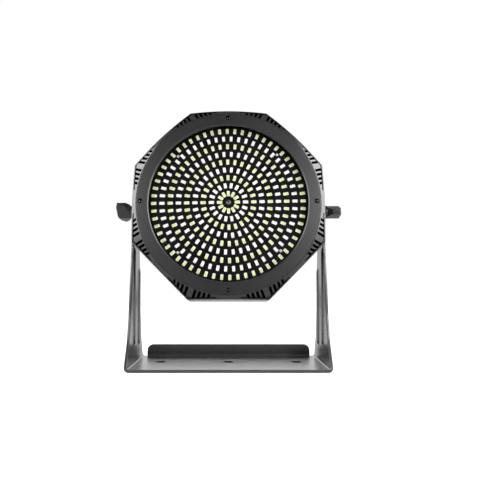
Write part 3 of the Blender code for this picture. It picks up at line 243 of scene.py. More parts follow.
# Moulded plastic, rubber or powder coat: grain, mottle, rubbed edges and a little dust
def coatedFinish(name, dark, light, rough, grain, pits=0.5, depth=0.04 * mm, wear=0.35,
                 worn=(0.20, 0.20, 0.20), dust=0.05, specular=0.5, wearRadius=0.6 * mm):
    material, tree, shader, where = newMaterial(name, light)
    surface = useGroup(tree, grainGroup, Vector=where, Scale=grain, Pits=pits)
    edges = useGroup(tree, wearGroup, Vector=where, Radius=wearRadius, Amount=wear)["Mask"]
    settled = useGroup(tree, dustGroup, Vector=where, Amount=dust)["Mask"]
    colour = blendColour(tree, surface["Mottle"], dark, light)
    colour = blendColour(tree, edges, colour, worn)
    colour = blendColour(tree, settled, colour, effectSizes["dustColour"])
    spread = ranged(tree, surface["Mottle"], toRange=rough)
    rubbed = mathNode(tree, "MULTIPLY_ADD", edges, effectSizes["rubbedRough"], spread)
    dusty = mathNode(tree, "MULTIPLY_ADD", settled, effectSizes["dustRough"], rubbed, clamp=True)
    fill(tree, shader, {"Base Color": colour, "Roughness": dusty, "Specular IOR Level": specular,
                        "Normal": bumped(tree, surface["Height"], effectSizes["grainBump"], depth)})
    return material


# Turned, rolled or drawn metal
def metalFinish(name, dark, light, rough, stretch=(1, 1, 40)):
    material, tree, shader, where = newMaterial(name, light)
    marks = useGroup(tree, turningGroup, Vector=where, Stretch=stretch)
    radius, amount = effectSizes["metalWear"]
    edges = useGroup(tree, wearGroup, Vector=where, Radius=radius, Amount=amount)["Mask"]
    colour = blendColour(tree, marks["Streak"], dark, light)
    gain, lift = effectSizes["metalShine"]
    colour = blendColour(tree, edges, colour, [min(1, gain * part + lift) for part in light])
    fill(tree, shader, {"Base Color": colour, "Roughness": ranged(tree, marks["Height"], toRange=rough),
                        "Metallic": 1.0, "Normal": bumped(tree, marks["Height"], *effectSizes["markBump"])})
    return material


windowLook = {
    "shown": (0.9, 0.95, 1.0),
    "tints": ((0.985, 0.99, 1.0), (0.995, 1.0, 1.0)),
    "bending": 1.49,
    "specular": 0.15,
}
boardLook = {
    "shown": (0.02, 0.018, 0.03),
    "mask": ((0.0020, 0.0016, 0.0016), (0.0036, 0.0027, 0.0030)),
    "track": (0.0015, 0.0013, 0.0013),
    "trackEdge": (0.44, 0.47),  # of half the way between two rings
    "trackGrain": 0.25,
    "grain": 1400.0,
    "pits": 0.2,
    "rough": (0.34, 0.50),
    "specular": 0.05,
    "bump": (0.5, 0.05 * mm),
}


# Clear window. Shadow rays pass, so that the light reaches the board behind it.
def clearFinish():
    look = windowLook
    material, tree, shader, where = newMaterial("clearWindow", look["shown"])
    material.diffuse_color = (*look["shown"], 0.2)
    tint = blendColour(tree, noise(tree, where, *effectSizes["haze"]), *look["tints"])
    fill(tree, shader, {"Base Color": tint, "Roughness": 0.0, "Transmission Weight": 1.0,
                        "IOR": look["bending"], "Specular IOR Level": look["specular"]})
    shadow = addNode(tree, "LightPath")["Is Shadow Ray"]
    through = addNode(tree, "BsdfTransparent")[0]
    mixed = addNode(tree, "MixShader", {0: shadow, 1: shader.outputs[0], 2: through})[0]
    fill(tree, tree.nodes["Material Output"], {"Surface": mixed})
    return material


# Black solder mask with the copper of the rings just showing through it
def boardFinish():
    look = boardLook
    material, tree, shader, where = newMaterial("blackBoard", look["shown"])
    fromPivot = addNode(tree, "VectorMath", {0: where, 1: tuple(-pivot)}, operation="ADD")[0]
    inputs = {"Vector": fromPivot, "Rotation": (lean - quarter, 0, 0)}
    flat = addNode(tree, "SeparateXYZ", {0: addNode(tree, "Mapping", inputs)[0]})
    squares = [mathNode(tree, "MULTIPLY", flat[axis], flat[axis]) for axis in "XY"]
    radius = mathNode(tree, "SQRT", mathNode(tree, "ADD", *squares))
    beyond = mathNode(tree, "SUBTRACT", radius, ledSizes["firstRing"])
    wave = mathNode(tree, "PINGPONG", mathNode(tree, "DIVIDE", beyond, ledSizes["ringStep"]), 0.5)
    track = ranged(tree, wave, look["trackEdge"])
    surface = useGroup(tree, grainGroup, Vector=where, Scale=look["grain"], Pits=look["pits"])
    mask = blendColour(tree, surface["Mottle"], *look["mask"])
    height = mathNode(tree, "MULTIPLY_ADD", surface["Height"], look["trackGrain"], track)
    fill(tree, shader, {"Base Color": blendColour(tree, track, mask, look["track"]),
                        "Roughness": ranged(tree, surface["Mottle"], toRange=look["rough"]),
                        "Specular IOR Level": look["specular"],
                        "Normal": bumped(tree, height, *look["bump"])})
    return material


# Housing or phosphor of a package, each one a little unlike the next
def packageFinish(name, pale, deep, rough):
    material, tree, shader, where = newMaterial(name, pale)
    lots = addNode(tree, "TexVoronoi", {"Vector": where, "Scale": effectSizes["lots"]})["Distance"]
    grit = noise(tree, where, *effectSizes["grit"])
    lots = mathNode(tree, "MULTIPLY", lots, effectSizes["lotShare"])
    share = mathNode(tree, "MULTIPLY_ADD", grit, effectSizes["gritShare"], lots, clamp=True)
    fill(tree, shader, {"Base Color": blendColour(tree, share, pale, deep),
                        "Roughness": ranged(tree, grit, toRange=rough),
                        "Normal": bumped(tree, grit, *effectSizes["gritBump"])})
    return material


ledSizes = {
    "rings": 9,
    "firstRing": 8.60 * mm,
    "ringStep": 7.96 * mm,
    "firstCount": 12,
    "countStep": 6,
    "turn": math.radians(1.0),
    "raised": 0.5 * mm,         # the pattern sits a little above the board's middle
    "long": 5.25 * mm,
    "wide": 2.75 * mm,
    "high": 0.70 * mm,
    "rim": 0.12 * mm,
    "windowLong": 3.8 * mm,
    "windowWide": 2.3 * mm,
    "windowShift": 0.35 * mm,   # towards the end away from the mark
    "turnedRing": 4,            # from this ring on the marks point inwards
    "windowCorner": 0.45 * mm,
    "windowFrame": 0.3 * mm,
    "windowLip": 0.06 * mm,
    "windowDeep": 0.12 * mm,
    "pad": (0.8 * mm, 2.0 * mm, 0.16 * mm),
    "padInside": 0.3 * mm,      # how far a pad's middle lies inside each end
}


def grey(level, blue=0.0):
    return level, level, level + blue


housingBlack = coatedFinish("housingBlack", grey(0.016, 0.001), grey(0.024, 0.001), (0.20, 0.28), 1500.0,
                            wear=0.15, wearRadius=0.3 * mm)
# Painted shade: near-black for the cut faces of the vents, screw pockets and holes, standing in for the shade
# inside them
paintedShadeBlack = coatedFinish("paintedShadeBlack", grey(0.003), grey(0.006), (0.5, 0.6), 1500.0, wear=0.0, specular=0.12)
bezelBlack = coatedFinish("bezelBlack", grey(0.014, 0.001), grey(0.020, 0.001), (0.28, 0.33), 1700.0,
                          depth=0.02 * mm, wear=0.2)
standPaint = coatedFinish("standPaint", (0.034, 0.035, 0.036), (0.046, 0.047, 0.048), (0.20, 0.26), 1100.0,
                          pits=0.35, depth=0.008 * mm, wear=0.25, worn=grey(0.34), specular=0.9)
knobBlack = coatedFinish("knobBlack", grey(0.024, 0.001), grey(0.036, 0.001), (0.26, 0.36), 1300.0, wear=0.6)
socketBlack = coatedFinish("socketBlack", grey(0.020, 0.001), grey(0.032, 0.001), (0.32, 0.44), 1600.0)
rubberBlack = coatedFinish("rubberBlack", grey(0.014), grey(0.024), (0.70, 0.85), 900.0, wear=0.1)
sheathRed = coatedFinish("sheathRed", (0.26, 0.012, 0.012), (0.38, 0.022, 0.020), (0.45, 0.60), 900.0,
                         wear=0.1)
greenBoard = coatedFinish("greenBoard", (0.020, 0.11, 0.045), (0.045, 0.17, 0.075), (0.35, 0.50), 700.0,
                          wear=0.1)
washerBlack = coatedFinish("washerBlack", grey(0.003), grey(0.005), (0.45, 0.60), 900.0, wear=0.0, dust=0.0,
                           specular=0.05)
displayRed = coatedFinish("displayRed", (0.050, 0.002, 0.003), (0.075, 0.004, 0.005), (0.06, 0.12), 300.0,
                          depth=0.004 * mm, wear=0.1)
blackScrew = metalFinish("blackScrew", grey(0.030, 0.002), grey(0.055, 0.005), (0.16, 0.26))
plainSteel = metalFinish("plainSteel", grey(0.42, 0.01), grey(0.60, 0.01), (0.22, 0.36))
darkSteel = metalFinish("darkSteel", grey(0.10, 0.01), grey(0.18, 0.01), (0.20, 0.32))
turnedBrass = metalFinish("turnedBrass", (0.60, 0.44, 0.18), (0.78, 0.62, 0.30), (0.22, 0.34))
bareAluminium = metalFinish("bareAluminium", (0.62, 0.63, 0.65), (0.78, 0.79, 0.80), (0.32, 0.46),
                            (1, 60, 1))
solderTin = metalFinish("solderTin", grey(0.22, 0.01), grey(0.38, 0.01), (0.30, 0.45), (1, 1, 1))
clearWindow = clearFinish()
blackBoard = boardFinish()
packageWhite = packageFinish("packageWhite", (0.76, 0.75, 0.71), (0.66, 0.65, 0.61), (0.35, 0.50))
phosphorLime = packageFinish("phosphorLime", (0.61, 0.66, 0.24), (0.49, 0.54, 0.16), (0.45, 0.60))
phosphorPale = packageFinish("phosphorPale", (0.80, 0.75, 0.76), (0.70, 0.65, 0.67), (0.45, 0.60))
segmentGrey = packageFinish("segmentGrey", (0.22, 0.10, 0.09), (0.16, 0.07, 0.06), (0.40, 0.55))
print("materials made")


# Outlines

# Corners turned into arcs. A list gives each corner its own radius, and an open line keeps its ends.
def softened(points, radius, steps=4, closed=True):
    outline = []
    count = len(points)
    for i, corner in enumerate(points):
        here = Vector(corner)
        bend = radius[i] if isinstance(radius, list) else radius
        if bend <= 0 or not closed and i in (0, count - 1):
            outline.append(here)
            continue
        before, after = Vector(points[i - 1]) - here, Vector(points[(i + 1) % count]) - here
        half = before.angle(after) / 2
        if abs(half - quarter) < 1e-4:   # a straight corner
            outline.append(here)
            continue
        reach = min(bend / math.tan(half), before.length / 2, after.length / 2)
        before.normalize()
        after.normalize()
        middle = here + (before + after).normalized() * (reach * math.tan(half) / math.sin(half))
        start = here + before * reach - middle
        sweep = start.angle_signed(here + after * reach - middle)
        outline += [middle + Matrix.Rotation(-sweep * step / steps, 2) @ start for step in range(steps + 1)]
    return [spot for i, spot in enumerate(outline)
            if i == 0 and not closed or (spot - outline[i - 1]).length > hair]


def rectangle(wide, high, x=0.0, y=0.0):
    corners = ((-1, -1), (1, -1), (1, 1), (-1, 1))
    return [(x + across * wide / 2, y + up * high / 2) for across, up in corners]


def octagonOutline(across, corner, steps=4):
    reach = across / 2 / cosHalf
    angles = [octant / 2 + i * octant for i in range(8)]
    return softened([(reach * math.cos(angle), reach * math.sin(angle)) for angle in angles], corner, steps)


def band(inner, outer, front, rear):   # profile of a ring, or of a disc when inner is 0
    return [(inner, front), (outer, front), (outer, rear), (inner, rear)]


# Shapes. Each of these gives a bmesh.

rounds = {                      # how many steps go round what is turned
    "rim": 240,
    "seat": 192,
    "gasket": 144,
    "part": 64,
    "rod": 48,
    "cap": 40,
    "hole": 32,
    "pin": 24,
}


def bevelled(bm, geom, offset, segments, affect="EDGES"):
    bmesh.ops.bevel(bm, geom=geom, offset=offset, segments=segments, profile=0.5, affect=affect, material=-1)
    return bm


def onlyKind(items, kind):
    return [item for item in items if isinstance(item, kind)]


def facedOut(bm):
    bmesh.ops.recalc_face_normals(bm, faces=bm.faces)
    return bm


def spun(profile, steps=96, edge=0.0, segments=3):   # a profile of (radius, depth), turned round the Z axis
    closed = profile[0][0] > hair   # or else it starts and ends on the axis
    bm = bmesh.new()
    line = softened(profile, edge, segments, closed)
    verts = [bm.verts.new((radius, 0, -depth)) for radius, depth in line]
    edges = [bm.edges.new(pair) for pair in zip(verts, verts[1:])]
    if closed:
        edges.append(bm.edges.new((verts[-1], verts[0])))
    bmesh.ops.spin(bm, geom=verts + edges, cent=(0, 0, 0), axis=(0, 0, 1), angle=2 * math.pi, steps=steps,
                   use_merge=True)
    bmesh.ops.remove_doubles(bm, verts=bm.verts, dist=hair)
    return facedOut(bm)


def prism(outline, front, rear):   # a flat outline, extruded between two depths
    bm = bmesh.new()
    face = bm.faces.new([bm.verts.new((x, y, -rear)) for x, y in outline])
    grown = bmesh.ops.extrude_face_region(bm, geom=[face])["geom"]
    bmesh.ops.translate(bm, verts=onlyKind(grown, bmesh.types.BMVert), vec=(0, 0, rear - front))
    return facedOut(bm)


def cylinder(radius, front, rear, x=0.0, y=0.0, steps=48):
    bm = bmesh.new()
    bmesh.ops.create_cone(bm, cap_ends=True, segments=steps, radius1=radius, radius2=radius,
                          depth=rear - front, matrix=translation(x, y, -(front + rear) / 2))
    return bm


def holesAt(spots, radius, front, rear, steps):   # a cylinder at each of the CAD nodes
    return [cylinder(radius, front, rear, *atSpot(node).xy, steps) for node in spots]


def softBox(size, centre=(0, 0, 0), edge=0.0, segments=2):
    bm = bmesh.new()
    bmesh.ops.create_cube(bm, size=1, matrix=translation(*centre) @ Matrix.Diagonal((*size, 1)))
    return bevelled(bm, bm.edges[:], edge, segments) if edge > 0 else bm


def merged(whole, shape):
    spare = bpy.data.meshes.new("spare")
    shape.to_mesh(spare)
    shape.free()
    whole.from_mesh(spare)
    bpy.data.meshes.remove(spare)


def moved(bm, matrix):
    bmesh.ops.transform(bm, matrix=matrix, verts=bm.verts)
    return bm


# Pieces

def linked(name, data):
    thing = bpy.data.objects.new(name, data)
    bpy.context.scene.collection.objects.link(thing)
    return thing


def newObject(name, bm):
    mesh = bpy.data.meshes.new(name)
    bm.to_mesh(mesh)
    bm.free()
    return linked(name, mesh)


def settle(thing):   # puts the result of the modifiers into the mesh
    bpy.context.view_layer.update()
    seen = thing.evaluated_get(bpy.context.evaluated_depsgraph_get())
    mesh = bpy.data.meshes.new_from_object(seen)
    thing.modifiers.clear()
    old = thing.data
    thing.data = mesh
    bpy.data.meshes.remove(old)
    mesh.name = thing.name
    bm = bmesh.new()
    bm.from_mesh(mesh)
    bmesh.ops.remove_doubles(bm, verts=bm.verts, dist=3 * hair)
    bm.to_mesh(mesh)
    bm.free()
    return thing


# Cuts bmeshes or other things out of a thing, or joins them. Their faces get the finish with that number.
def carve(thing, *shapes, how="DIFFERENCE", finish=0):
    tools = [newObject("tool", shape) if isinstance(shape, bmesh.types.BMesh) else shape for shape in shapes]
    for tool in tools:
        for face in tool.data.polygons:
            face.material_index = max(finish, face.material_index)
        step = thing.modifiers.new("carve", "BOOLEAN")
        step.operation = how
        step.solver = "EXACT"
        step.object = tool
    settle(thing)
    for tool in tools:
        mesh = tool.data
        bpy.data.objects.remove(tool)
        bpy.data.meshes.remove(mesh)
    return thing


def softenEdges(thing, width, segments=2, angle=35, clamp=True):
    bevel = thing.modifiers.new("soft edges", "BEVEL")
    bevel.width = width
    bevel.segments = segments
    bevel.limit_method = "ANGLE"
    bevel.angle_limit = math.radians(angle)
    bevel.use_clamp_overlap = clamp
    bevel.miter_outer = "MITER_ARC"
    return settle(thing)


def finishPiece(thing, materials, replaced=(), body="head", place=lampPlace, smooth=30):
    mesh = thing.data
    mesh.transform(place)
    for material in materials:
        mesh.materials.append(material)
    mesh.shade_smooth()
    mesh.set_sharp_from_angle(angle=math.radians(smooth))
    normals = thing.modifiers.new("normals", "WEIGHTED_NORMAL")   # keeps flat faces flat
    normals.keep_sharp = True
    normals.weight = 80
    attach(thing, body)
    if replaced:
        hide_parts(*replaced)


def turnedPiece(node, ending, inner, material, edge, steps):   # a ring or disc on the lamp's axis
    low, high = lampBox(node)
    thing = newObject(node + ending, spun(band(inner, high.x, -high.z, -low.z), steps, edge))
    finishPiece(thing, [material], [node])


# Front shell: an octagonal wall behind a cone, with comb-like vents at the corners

shellSizes = {
    "wall": 2.5 * mm,
    "cornerRadius": 1.1 * mm,
    "coneRadius": 88.6 * mm,
    "coneSlope": 0.82,          # depth gained per radius
    "coneWall": 3.0 * mm,
    "hollowFront": 4.4 * mm,
    "hollowCorner": 0.4 * mm,
    "seatRing": 86.5 * mm,
    "seatRadius": 77.5 * mm,
    "seatGap": 0.3 * mm,
    "bezelGap": 0.15 * mm,
    "boardAhead": 1.1 * mm,
    "grooveRim": 1.1 * mm,
    "grooveWide": 1.2 * mm,
    "grooveDeep": 1.2 * mm,
    "grooveEnd": 11.3 * mm,     # from the middle of a flat
    "grooveStations": (0.0, 0.3, 0.6, 0.85),
    "slots": 4,
    "slotWide": 2.6 * mm,
    "slotPitch": 4.4 * mm,
    "firstSlot": 4.1 * mm,
    "slotInner": 89.2 * mm,
    "slotDeep": 13.5 * mm,
    "slotEdge": 0.35 * mm,
    "edge": 0.28 * mm,
    "over": 2.0 * mm,           # how far a cutter reaches past what it cuts
}

lowShell, highShell = lampBox("front_shell")
lowBezel, highBezel = lampBox("front_bezel")
lowBoard, highBoard = lampBox("led_board")
acrossFlats = 2 * highShell.x
shellFront, shellRear = -highShell.z, -lowShell.z
bezelRadius, bezelRear = highBezel.x, -lowBezel.z
boardFront, boardRear = -highBoard.z, -lowBoard.z


def coneDepth(radius):
    return shellFront + max(0.0, radius - shellSizes["coneRadius"]) * shellSizes["coneSlope"]


def coneSolid(deeper):
    size = shellSizes
    radius, slope, over = size["coneRadius"], size["coneSlope"], size["over"]
    reach = acrossFlats / 2 / cosHalf + over - radius
    front = shellFront + deeper
    ahead = 2 * over
    far = shellRear + over
    return spun([(0, front - ahead), (radius - ahead / slope, front - ahead),
                 (radius + reach, front + reach * slope), (radius + reach, far), (0, far)], rounds["rim"])


# The slots at each corner, from near the bezel out to the groove
def ventSlots():
    size = shellSizes
    outerFlat = acrossFlats / 2 - size["grooveRim"] - size["grooveWide"] / 2
    centres = [size["firstSlot"] + number * size["slotPitch"] for number in range(size["slots"])]
    whole = bmesh.new()
    for corner in range(8):
        for centre in centres + [-centre for centre in centres]:
            slot = softBox((1, 1, 1))
            for vert in slot.verts:
                across = centre + vert.co.y * size["slotWide"]
                inner = math.sqrt(size["slotInner"] ** 2 - across ** 2)
                outer = outerFlat / cosHalf - abs(across) * tanHalf
                deep = size["slotDeep"] if vert.co.z < 0 else -size["over"]
                vert.co = (inner if vert.co.x < 0 else outer, across, -deep)
            upright = [edge for edge in slot.edges
                       if abs(edge.verts[0].co.z - edge.verts[1].co.z) > size["over"]]
            bevelled(slot, upright, size["slotEdge"], 3)
            merged(whole, moved(slot, rotation(octant / 2 + corner * octant)))
    return whole


# A groove round each corner, whose floor follows the cone
def ventGrooves():
    size = shellSizes
    outer = acrossFlats / 2 - size["grooveRim"]
    inner = outer - size["grooveWide"]
    shares = size["grooveStations"]
    stations = [(-1, share) for share in shares] + [(1, 1.0)] + [(1, share) for share in reversed(shares)]
    whole = bmesh.new()
    for corner in range(8):
        turn = rotation(octant / 2 + corner * octant)
        strip = bmesh.new()
        face = None
        for side, share in stations:
            places = []
            for flat, floor in ((inner, True), (inner, False), (outer, False), (outer, True)):
                along = size["grooveEnd"] + share * (flat * tanHalf - size["grooveEnd"])
                radial = flat * cosHalf + along * sinHalf
                across = side * (flat * sinHalf - along * cosHalf)
                deep = coneDepth(math.hypot(flat, along)) + size["grooveDeep"] if floor else -size["over"]
                places.append(turn @ Vector((radial, across, -deep)))
            if face is None:
                face = strip.faces.new([strip.verts.new(place) for place in places])
                continue
            grown = bmesh.ops.extrude_face_region(strip, geom=[face])["geom"]
            if len(strip.faces) > 6:
                bmesh.ops.delete(strip, geom=[face], context="FACES_ONLY")   # an inner wall
            face = onlyKind(grown, bmesh.types.BMFace)[0]
            for vert, place in zip(face.verts, places):
                vert.co = place
        bmesh.ops.triangulate(strip, faces=strip.faces)
        merged(whole, facedOut(strip))
    return whole


def makeFrontShell():
    size = shellSizes
    over, gap = size["over"], size["seatGap"]
    outside = octagonOutline(acrossFlats, size["cornerRadius"])
    inside = octagonOutline(acrossFlats - 2 * size["wall"], size["hollowCorner"])
    shell = newObject("front_shell_moulding", prism(outside, shellFront, shellRear))
    carve(shell, coneSolid(0.0), how="INTERSECT")
    hollow = newObject("hollow", prism(inside, size["hollowFront"], shellRear + over))
    carve(hollow, coneSolid(size["coneWall"]), how="INTERSECT")
    carve(hollow, cylinder(size["seatRing"], -over, boardRear, steps=rounds["seat"]))
    carve(shell, hollow)
    seats = ((bezelRadius + size["bezelGap"], bezelRear + gap),   # radius and rear end of each
             (lampBox("front_window")[1].x + gap, -lampBox("window_gasket")[0].z + gap),
             (size["seatRadius"], boardFront - size["boardAhead"]),
             (highBoard.x + gap, boardRear + over))
    profile = [(0, -over)]
    for radius, rear in seats:
        profile += [(radius, profile[-1][1]), (radius, rear)]
    carve(shell, spun(profile + [(0, rear)], rounds["seat"]))
    vents = newObject("vents", ventGrooves())
    carve(vents, ventSlots(), how="UNION")
    # The walls and floors of the vents get the near-black painted shade
    carve(shell, vents, finish=1)
    softenEdges(shell, size["edge"], 2, 28)
    finishPiece(shell, [housingBlack, paintedShadeBlack], ["front_shell"], smooth=28)


makeFrontShell()
print("front shell made")


# Screws: pan heads with a cross recess

screwSizes = {
    "rim": 0.10,                # shares of the head's height
    "dome": 0.38,
    "crossHigh": 1.6,
    "crossUp": 1.1,
    "crossLong": 1.24,          # shares of the head's radius
    "crossWide": 0.30,
    "crossFoot": (0.5, 0.55),   # how far the cross narrows downwards
    "underRim": 0.1 * mm,
    "tip": 0.4 * mm,
    "kinds": {                  # radius and height of head, radius and length of shank in mm; turn of each
        "bezel_screw": (1.9, 0.9, 1.25, 7.2, {"_right": 0.5, "_top": 0.1, "_left": 0.9, "_bottom": 0.35}),
        "centre_screw": (2.4, 1.2, 1.25, 5.2, {"": 0.7}),
        "board_screw": (1.4, 0.8, 0.9, 4.0, {"_1": 0.6, "_2": 1.2, "_3": 1.8, "_4": 2.4}),
        "rear_screw": (2.5, 1.6, 1.25, 10.5, {"_1": 0.5, "_2": 1.0, "_3": 1.5, "_4": 2.0}),
        "fan_screw": (2.7, 1.6, 1.5, 10.5, {"_lower": 0.4, "_upper": 0.4}),
    },
    "finishes": {"centre_screw": darkSteel, "board_screw": plainSteel},
    "fromRear": ("rear_screw", "fan_screw"),
}


# The underside of the head lies at z = 0 and the head points along +Z
def screwShape(headRadius, headHigh, shankRadius, length):
    size = screwSizes
    angles = [step * math.pi / 14 for step in range(8)]
    dome = [(headRadius * math.sin(angle), -headHigh * (1 - size["dome"] + size["dome"] * math.cos(angle)))
            for angle in angles]
    profile = dome + [
        (headRadius, -size["rim"] * headHigh), (headRadius - size["underRim"], 0), (shankRadius, 0),
        (shankRadius, length - size["tip"]), (shankRadius - size["tip"], length), (0, length)]
    screw = newObject("screw", spun(profile, rounds["cap"]))
    narrowX, narrowY = size["crossFoot"]
    for turn in (0, quarter):
        across = [size[key] * headRadius for key in ("crossLong", "crossWide")]
        arm = softBox((*across, size["crossHigh"] * headHigh), (0, 0, size["crossUp"] * headHigh))
        for vert in arm.verts:
            if vert.co.z < headHigh:
                vert.co.x *= narrowX
                vert.co.y *= narrowY
        carve(screw, moved(arm, rotation(turn)))
    bm = bmesh.new()
    bm.from_mesh(screw.data)
    bpy.data.objects.remove(screw)
    return bm


def makeScrews():
    for kind, (*sizes, turns) in screwSizes["kinds"].items():
        front = kind not in screwSizes["fromRear"]
        material = screwSizes["finishes"].get(kind, blackScrew)
        sizes = [value * mm for value in sizes]
        shape = screwShape(*sizes)
        for ending, turn in turns.items():
            node = kind + ending
            spot = atSpot(node, front)
            spot.z -= sizes[1] if front else -sizes[1]
            place = lampPlace @ translation(*spot)
            if not front:
                place = place @ behind
            thing = newObject(node + "_cross", shape.copy())
            finishPiece(thing, [material], [node], place=place @ rotation(turn), smooth=32)
        shape.free()


makeScrews()
print("screws made")


# Bezel, window, gasket

bezelSizes = {
    "opening": 76.5 * mm,
    "innerChamfer": 1.0 * mm,
    "edge": 0.45 * mm,
    "rearEdge": 0.1 * mm,
    "screwCircle": 84.3 * mm,
    "screwHole": 1.55 * mm,
    "recess": 2.2 * mm,
    "recessDeep": 1.4 * mm,
    "recessRim": 0.25 * mm,
    "windowEdge": 0.3 * mm,
    "gasketWide": 3.8 * mm,
    "gasketEdge": 0.3 * mm,
}


def makeBezel():
    size = bezelSizes
    opening, chamfer, recess, rim = size["opening"], size["innerChamfer"], size["recess"], size["recessRim"]
    profile = [(opening + chamfer, 0), (bezelRadius, 0), (bezelRadius, bezelRear), (opening, bezelRear),
               (opening, chamfer)]
    edges = [size["edge"], size["edge"], size["rearEdge"], size["rearEdge"], size["edge"]]
    bezel = newObject("front_bezel_ring", spun(profile, rounds["rim"], edges, 4))
    hole, deep, far = size["screwHole"], size["recessDeep"], 2 * bezelRear
    pocket = [(0, -mm), (recess + rim + mm, -mm), (recess, rim), (recess, deep), (hole, deep), (hole, far),
              (0, far)]
    pockets = []
    for angle in (0, quarter, 2 * quarter, 3 * quarter):
        spot = (size["screwCircle"] * math.cos(angle), size["screwCircle"] * math.sin(angle), 0)
        pockets.append(moved(spun(pocket, rounds["rod"]), translation(*spot)))
    # The screw pockets get the near-black painted shade
    carve(bezel, *pockets, finish=1)
    finishPiece(bezel, [bezelBlack, paintedShadeBlack], ["front_bezel"])
    turnedPiece("front_window", "_disc", 0, clearWindow, size["windowEdge"], rounds["seat"])
    inner = lampBox("window_gasket")[1].x - size["gasketWide"]
    turnedPiece("window_gasket", "_ring", inner, rubberBlack, size["gasketEdge"],
                rounds["gasket"])


makeBezel()
print("bezel and window made")


# LED board and its packages

boardSizes = {
    "edge": 0.15 * mm,
    "centreHole": 1.5 * mm,
    "screwHole": 1.15 * mm,
    "washerHole": 1.6 * mm,
    "washerEdge": 0.2 * mm,
}


def topFace(bm):   # of the faces that look up, the one with most corners
    return max(bm.faces, key=lambda face: (face.normal.z > 0.9, len(face.verts)))


# Housing with a sunken phosphor window and a solder fillet at each end. Long side along X.
def ledPackage(shift):
    size = ledSizes
    inside = size["padInside"]
    bm = softBox((size["long"] - 2 * inside, size["wide"], size["high"]), (0, 0, size["high"] / 2))
    bevelled(bm, list(topFace(bm).edges), size["rim"], 1)
    window = topFace(bm)
    bmesh.ops.inset_individual(bm, faces=[window], thickness=size["windowFrame"])
    for vert in window.verts:
        vert.co.x = math.copysign(size["windowLong"] / 2, vert.co.x) + shift
        vert.co.y = math.copysign(size["windowWide"] / 2, vert.co.y)
    bevelled(bm, list(window.verts), size["windowCorner"], 2, "VERTICES")
    window = topFace(bm)
    bmesh.ops.inset_individual(bm, faces=[window], thickness=size["windowLip"], depth=-size["windowDeep"])
    window.material_index = 1
    for end in (-1, 1):
        pad = softBox(size["pad"], (end * (size["long"] / 2 - inside), 0, size["pad"][2] / 2))
        for face in pad.faces:
            face.material_index = 2
        merged(bm, pad)
    return bm


def makePackages():
    size = ledSizes
    wholes = [bmesh.new(), bmesh.new()]
    for ring in range(size["rings"]):
        radius = size["firstRing"] + ring * size["ringStep"]
        count = size["firstCount"] + ring * size["countStep"]
        package = ledPackage(size["windowShift"] * (1 if ring >= size["turnedRing"] else -1))
        spare = bpy.data.meshes.new("package")
        package.to_mesh(spare)
        package.free()
        whole = wholes[ring % 2]
        for number in range(count):
            start = len(whole.verts)
            whole.from_mesh(spare)
            whole.verts.ensure_lookup_table()
            turn = rotation(2 * math.pi * number / count + size["turn"])
            place = translation(0, size["raised"], highBoard.z) @ turn @ translation(radius, 0, 0)
            bmesh.ops.transform(whole, matrix=place, verts=whole.verts[start:])
        bpy.data.meshes.remove(spare)
    for name, whole, phosphor in zip(("led_packages_lime", "led_packages_pale"), wholes,
                                     (phosphorLime, phosphorPale)):
        finishPiece(newObject(name, whole), [packageWhite, phosphor, solderTin])


def makeBoard():
    size = boardSizes
    profile = band(0, highBoard.x, boardFront, boardRear)
    board = newObject("led_board_disc", spun(profile, rounds["seat"], size["edge"], 2))
    front, rear = boardFront - mm, boardRear + mm
    screws = [f"board_screw_{number}" for number in range(1, 5)]
    carve(board, cylinder(size["centreHole"], front, rear, steps=rounds["hole"]),
          *holesAt(screws, size["screwHole"], front, rear, rounds["hole"]))
    finishPiece(board, [blackBoard], ["led_board"])
    turnedPiece("centre_washer", "_ring", size["washerHole"], washerBlack,
                size["washerEdge"], rounds["part"])


makeBoard()
makePackages()
print("board and packages made")


# Rear shell: flange, tub with its panel, and the two pivot bosses

rearSizes = {
    "wall": 2.5 * mm,
    "tubAcross": 165 * mm,
    "tubCorner": 3.5 * mm,
    "hollowCorner": 2.0 * mm,
    "rearEdge": 3.0 * mm,
    "flangeThick": 2.6 * mm,
    "flangeGap": 0.04 * mm,
    "flangeCorner": 0.6 * mm,
    "bossRadius": 9.5 * mm,
    "bossEdge": 0.4 * mm,
    "bossStart": 72 * mm,       # from the middle of the lamp
    "bossRoom": (9.3 * mm, 88 * mm),
    "bore": 5.3 * mm,
    "boreStart": 70 * mm,
    "screwHole": 1.55 * mm,
    "edge": 0.30 * mm,
    "displayGap": 0.3 * mm,
    "displayCorner": 0.5 * mm,
    "displayLedge": 2.3 * mm,
    "buttonHole": 3.5 * mm,
    "inletHole": (28 * mm, 20.4 * mm),
    "inletCorner": 1.0 * mm,
    "signalHole": 9.8 * mm,
    "fanScrewHole": 1.8 * mm,
    "grilleSlots": 7,
    "grillePitch": 5.6 * mm,
    "grilleSlot": 3.0 * mm,
    "grilleReach": 21.5 * mm,
    "flare": 0.25 * mm,
}
buttonNodes = ("button_menu", "button_down", "button_up", "button_enter")


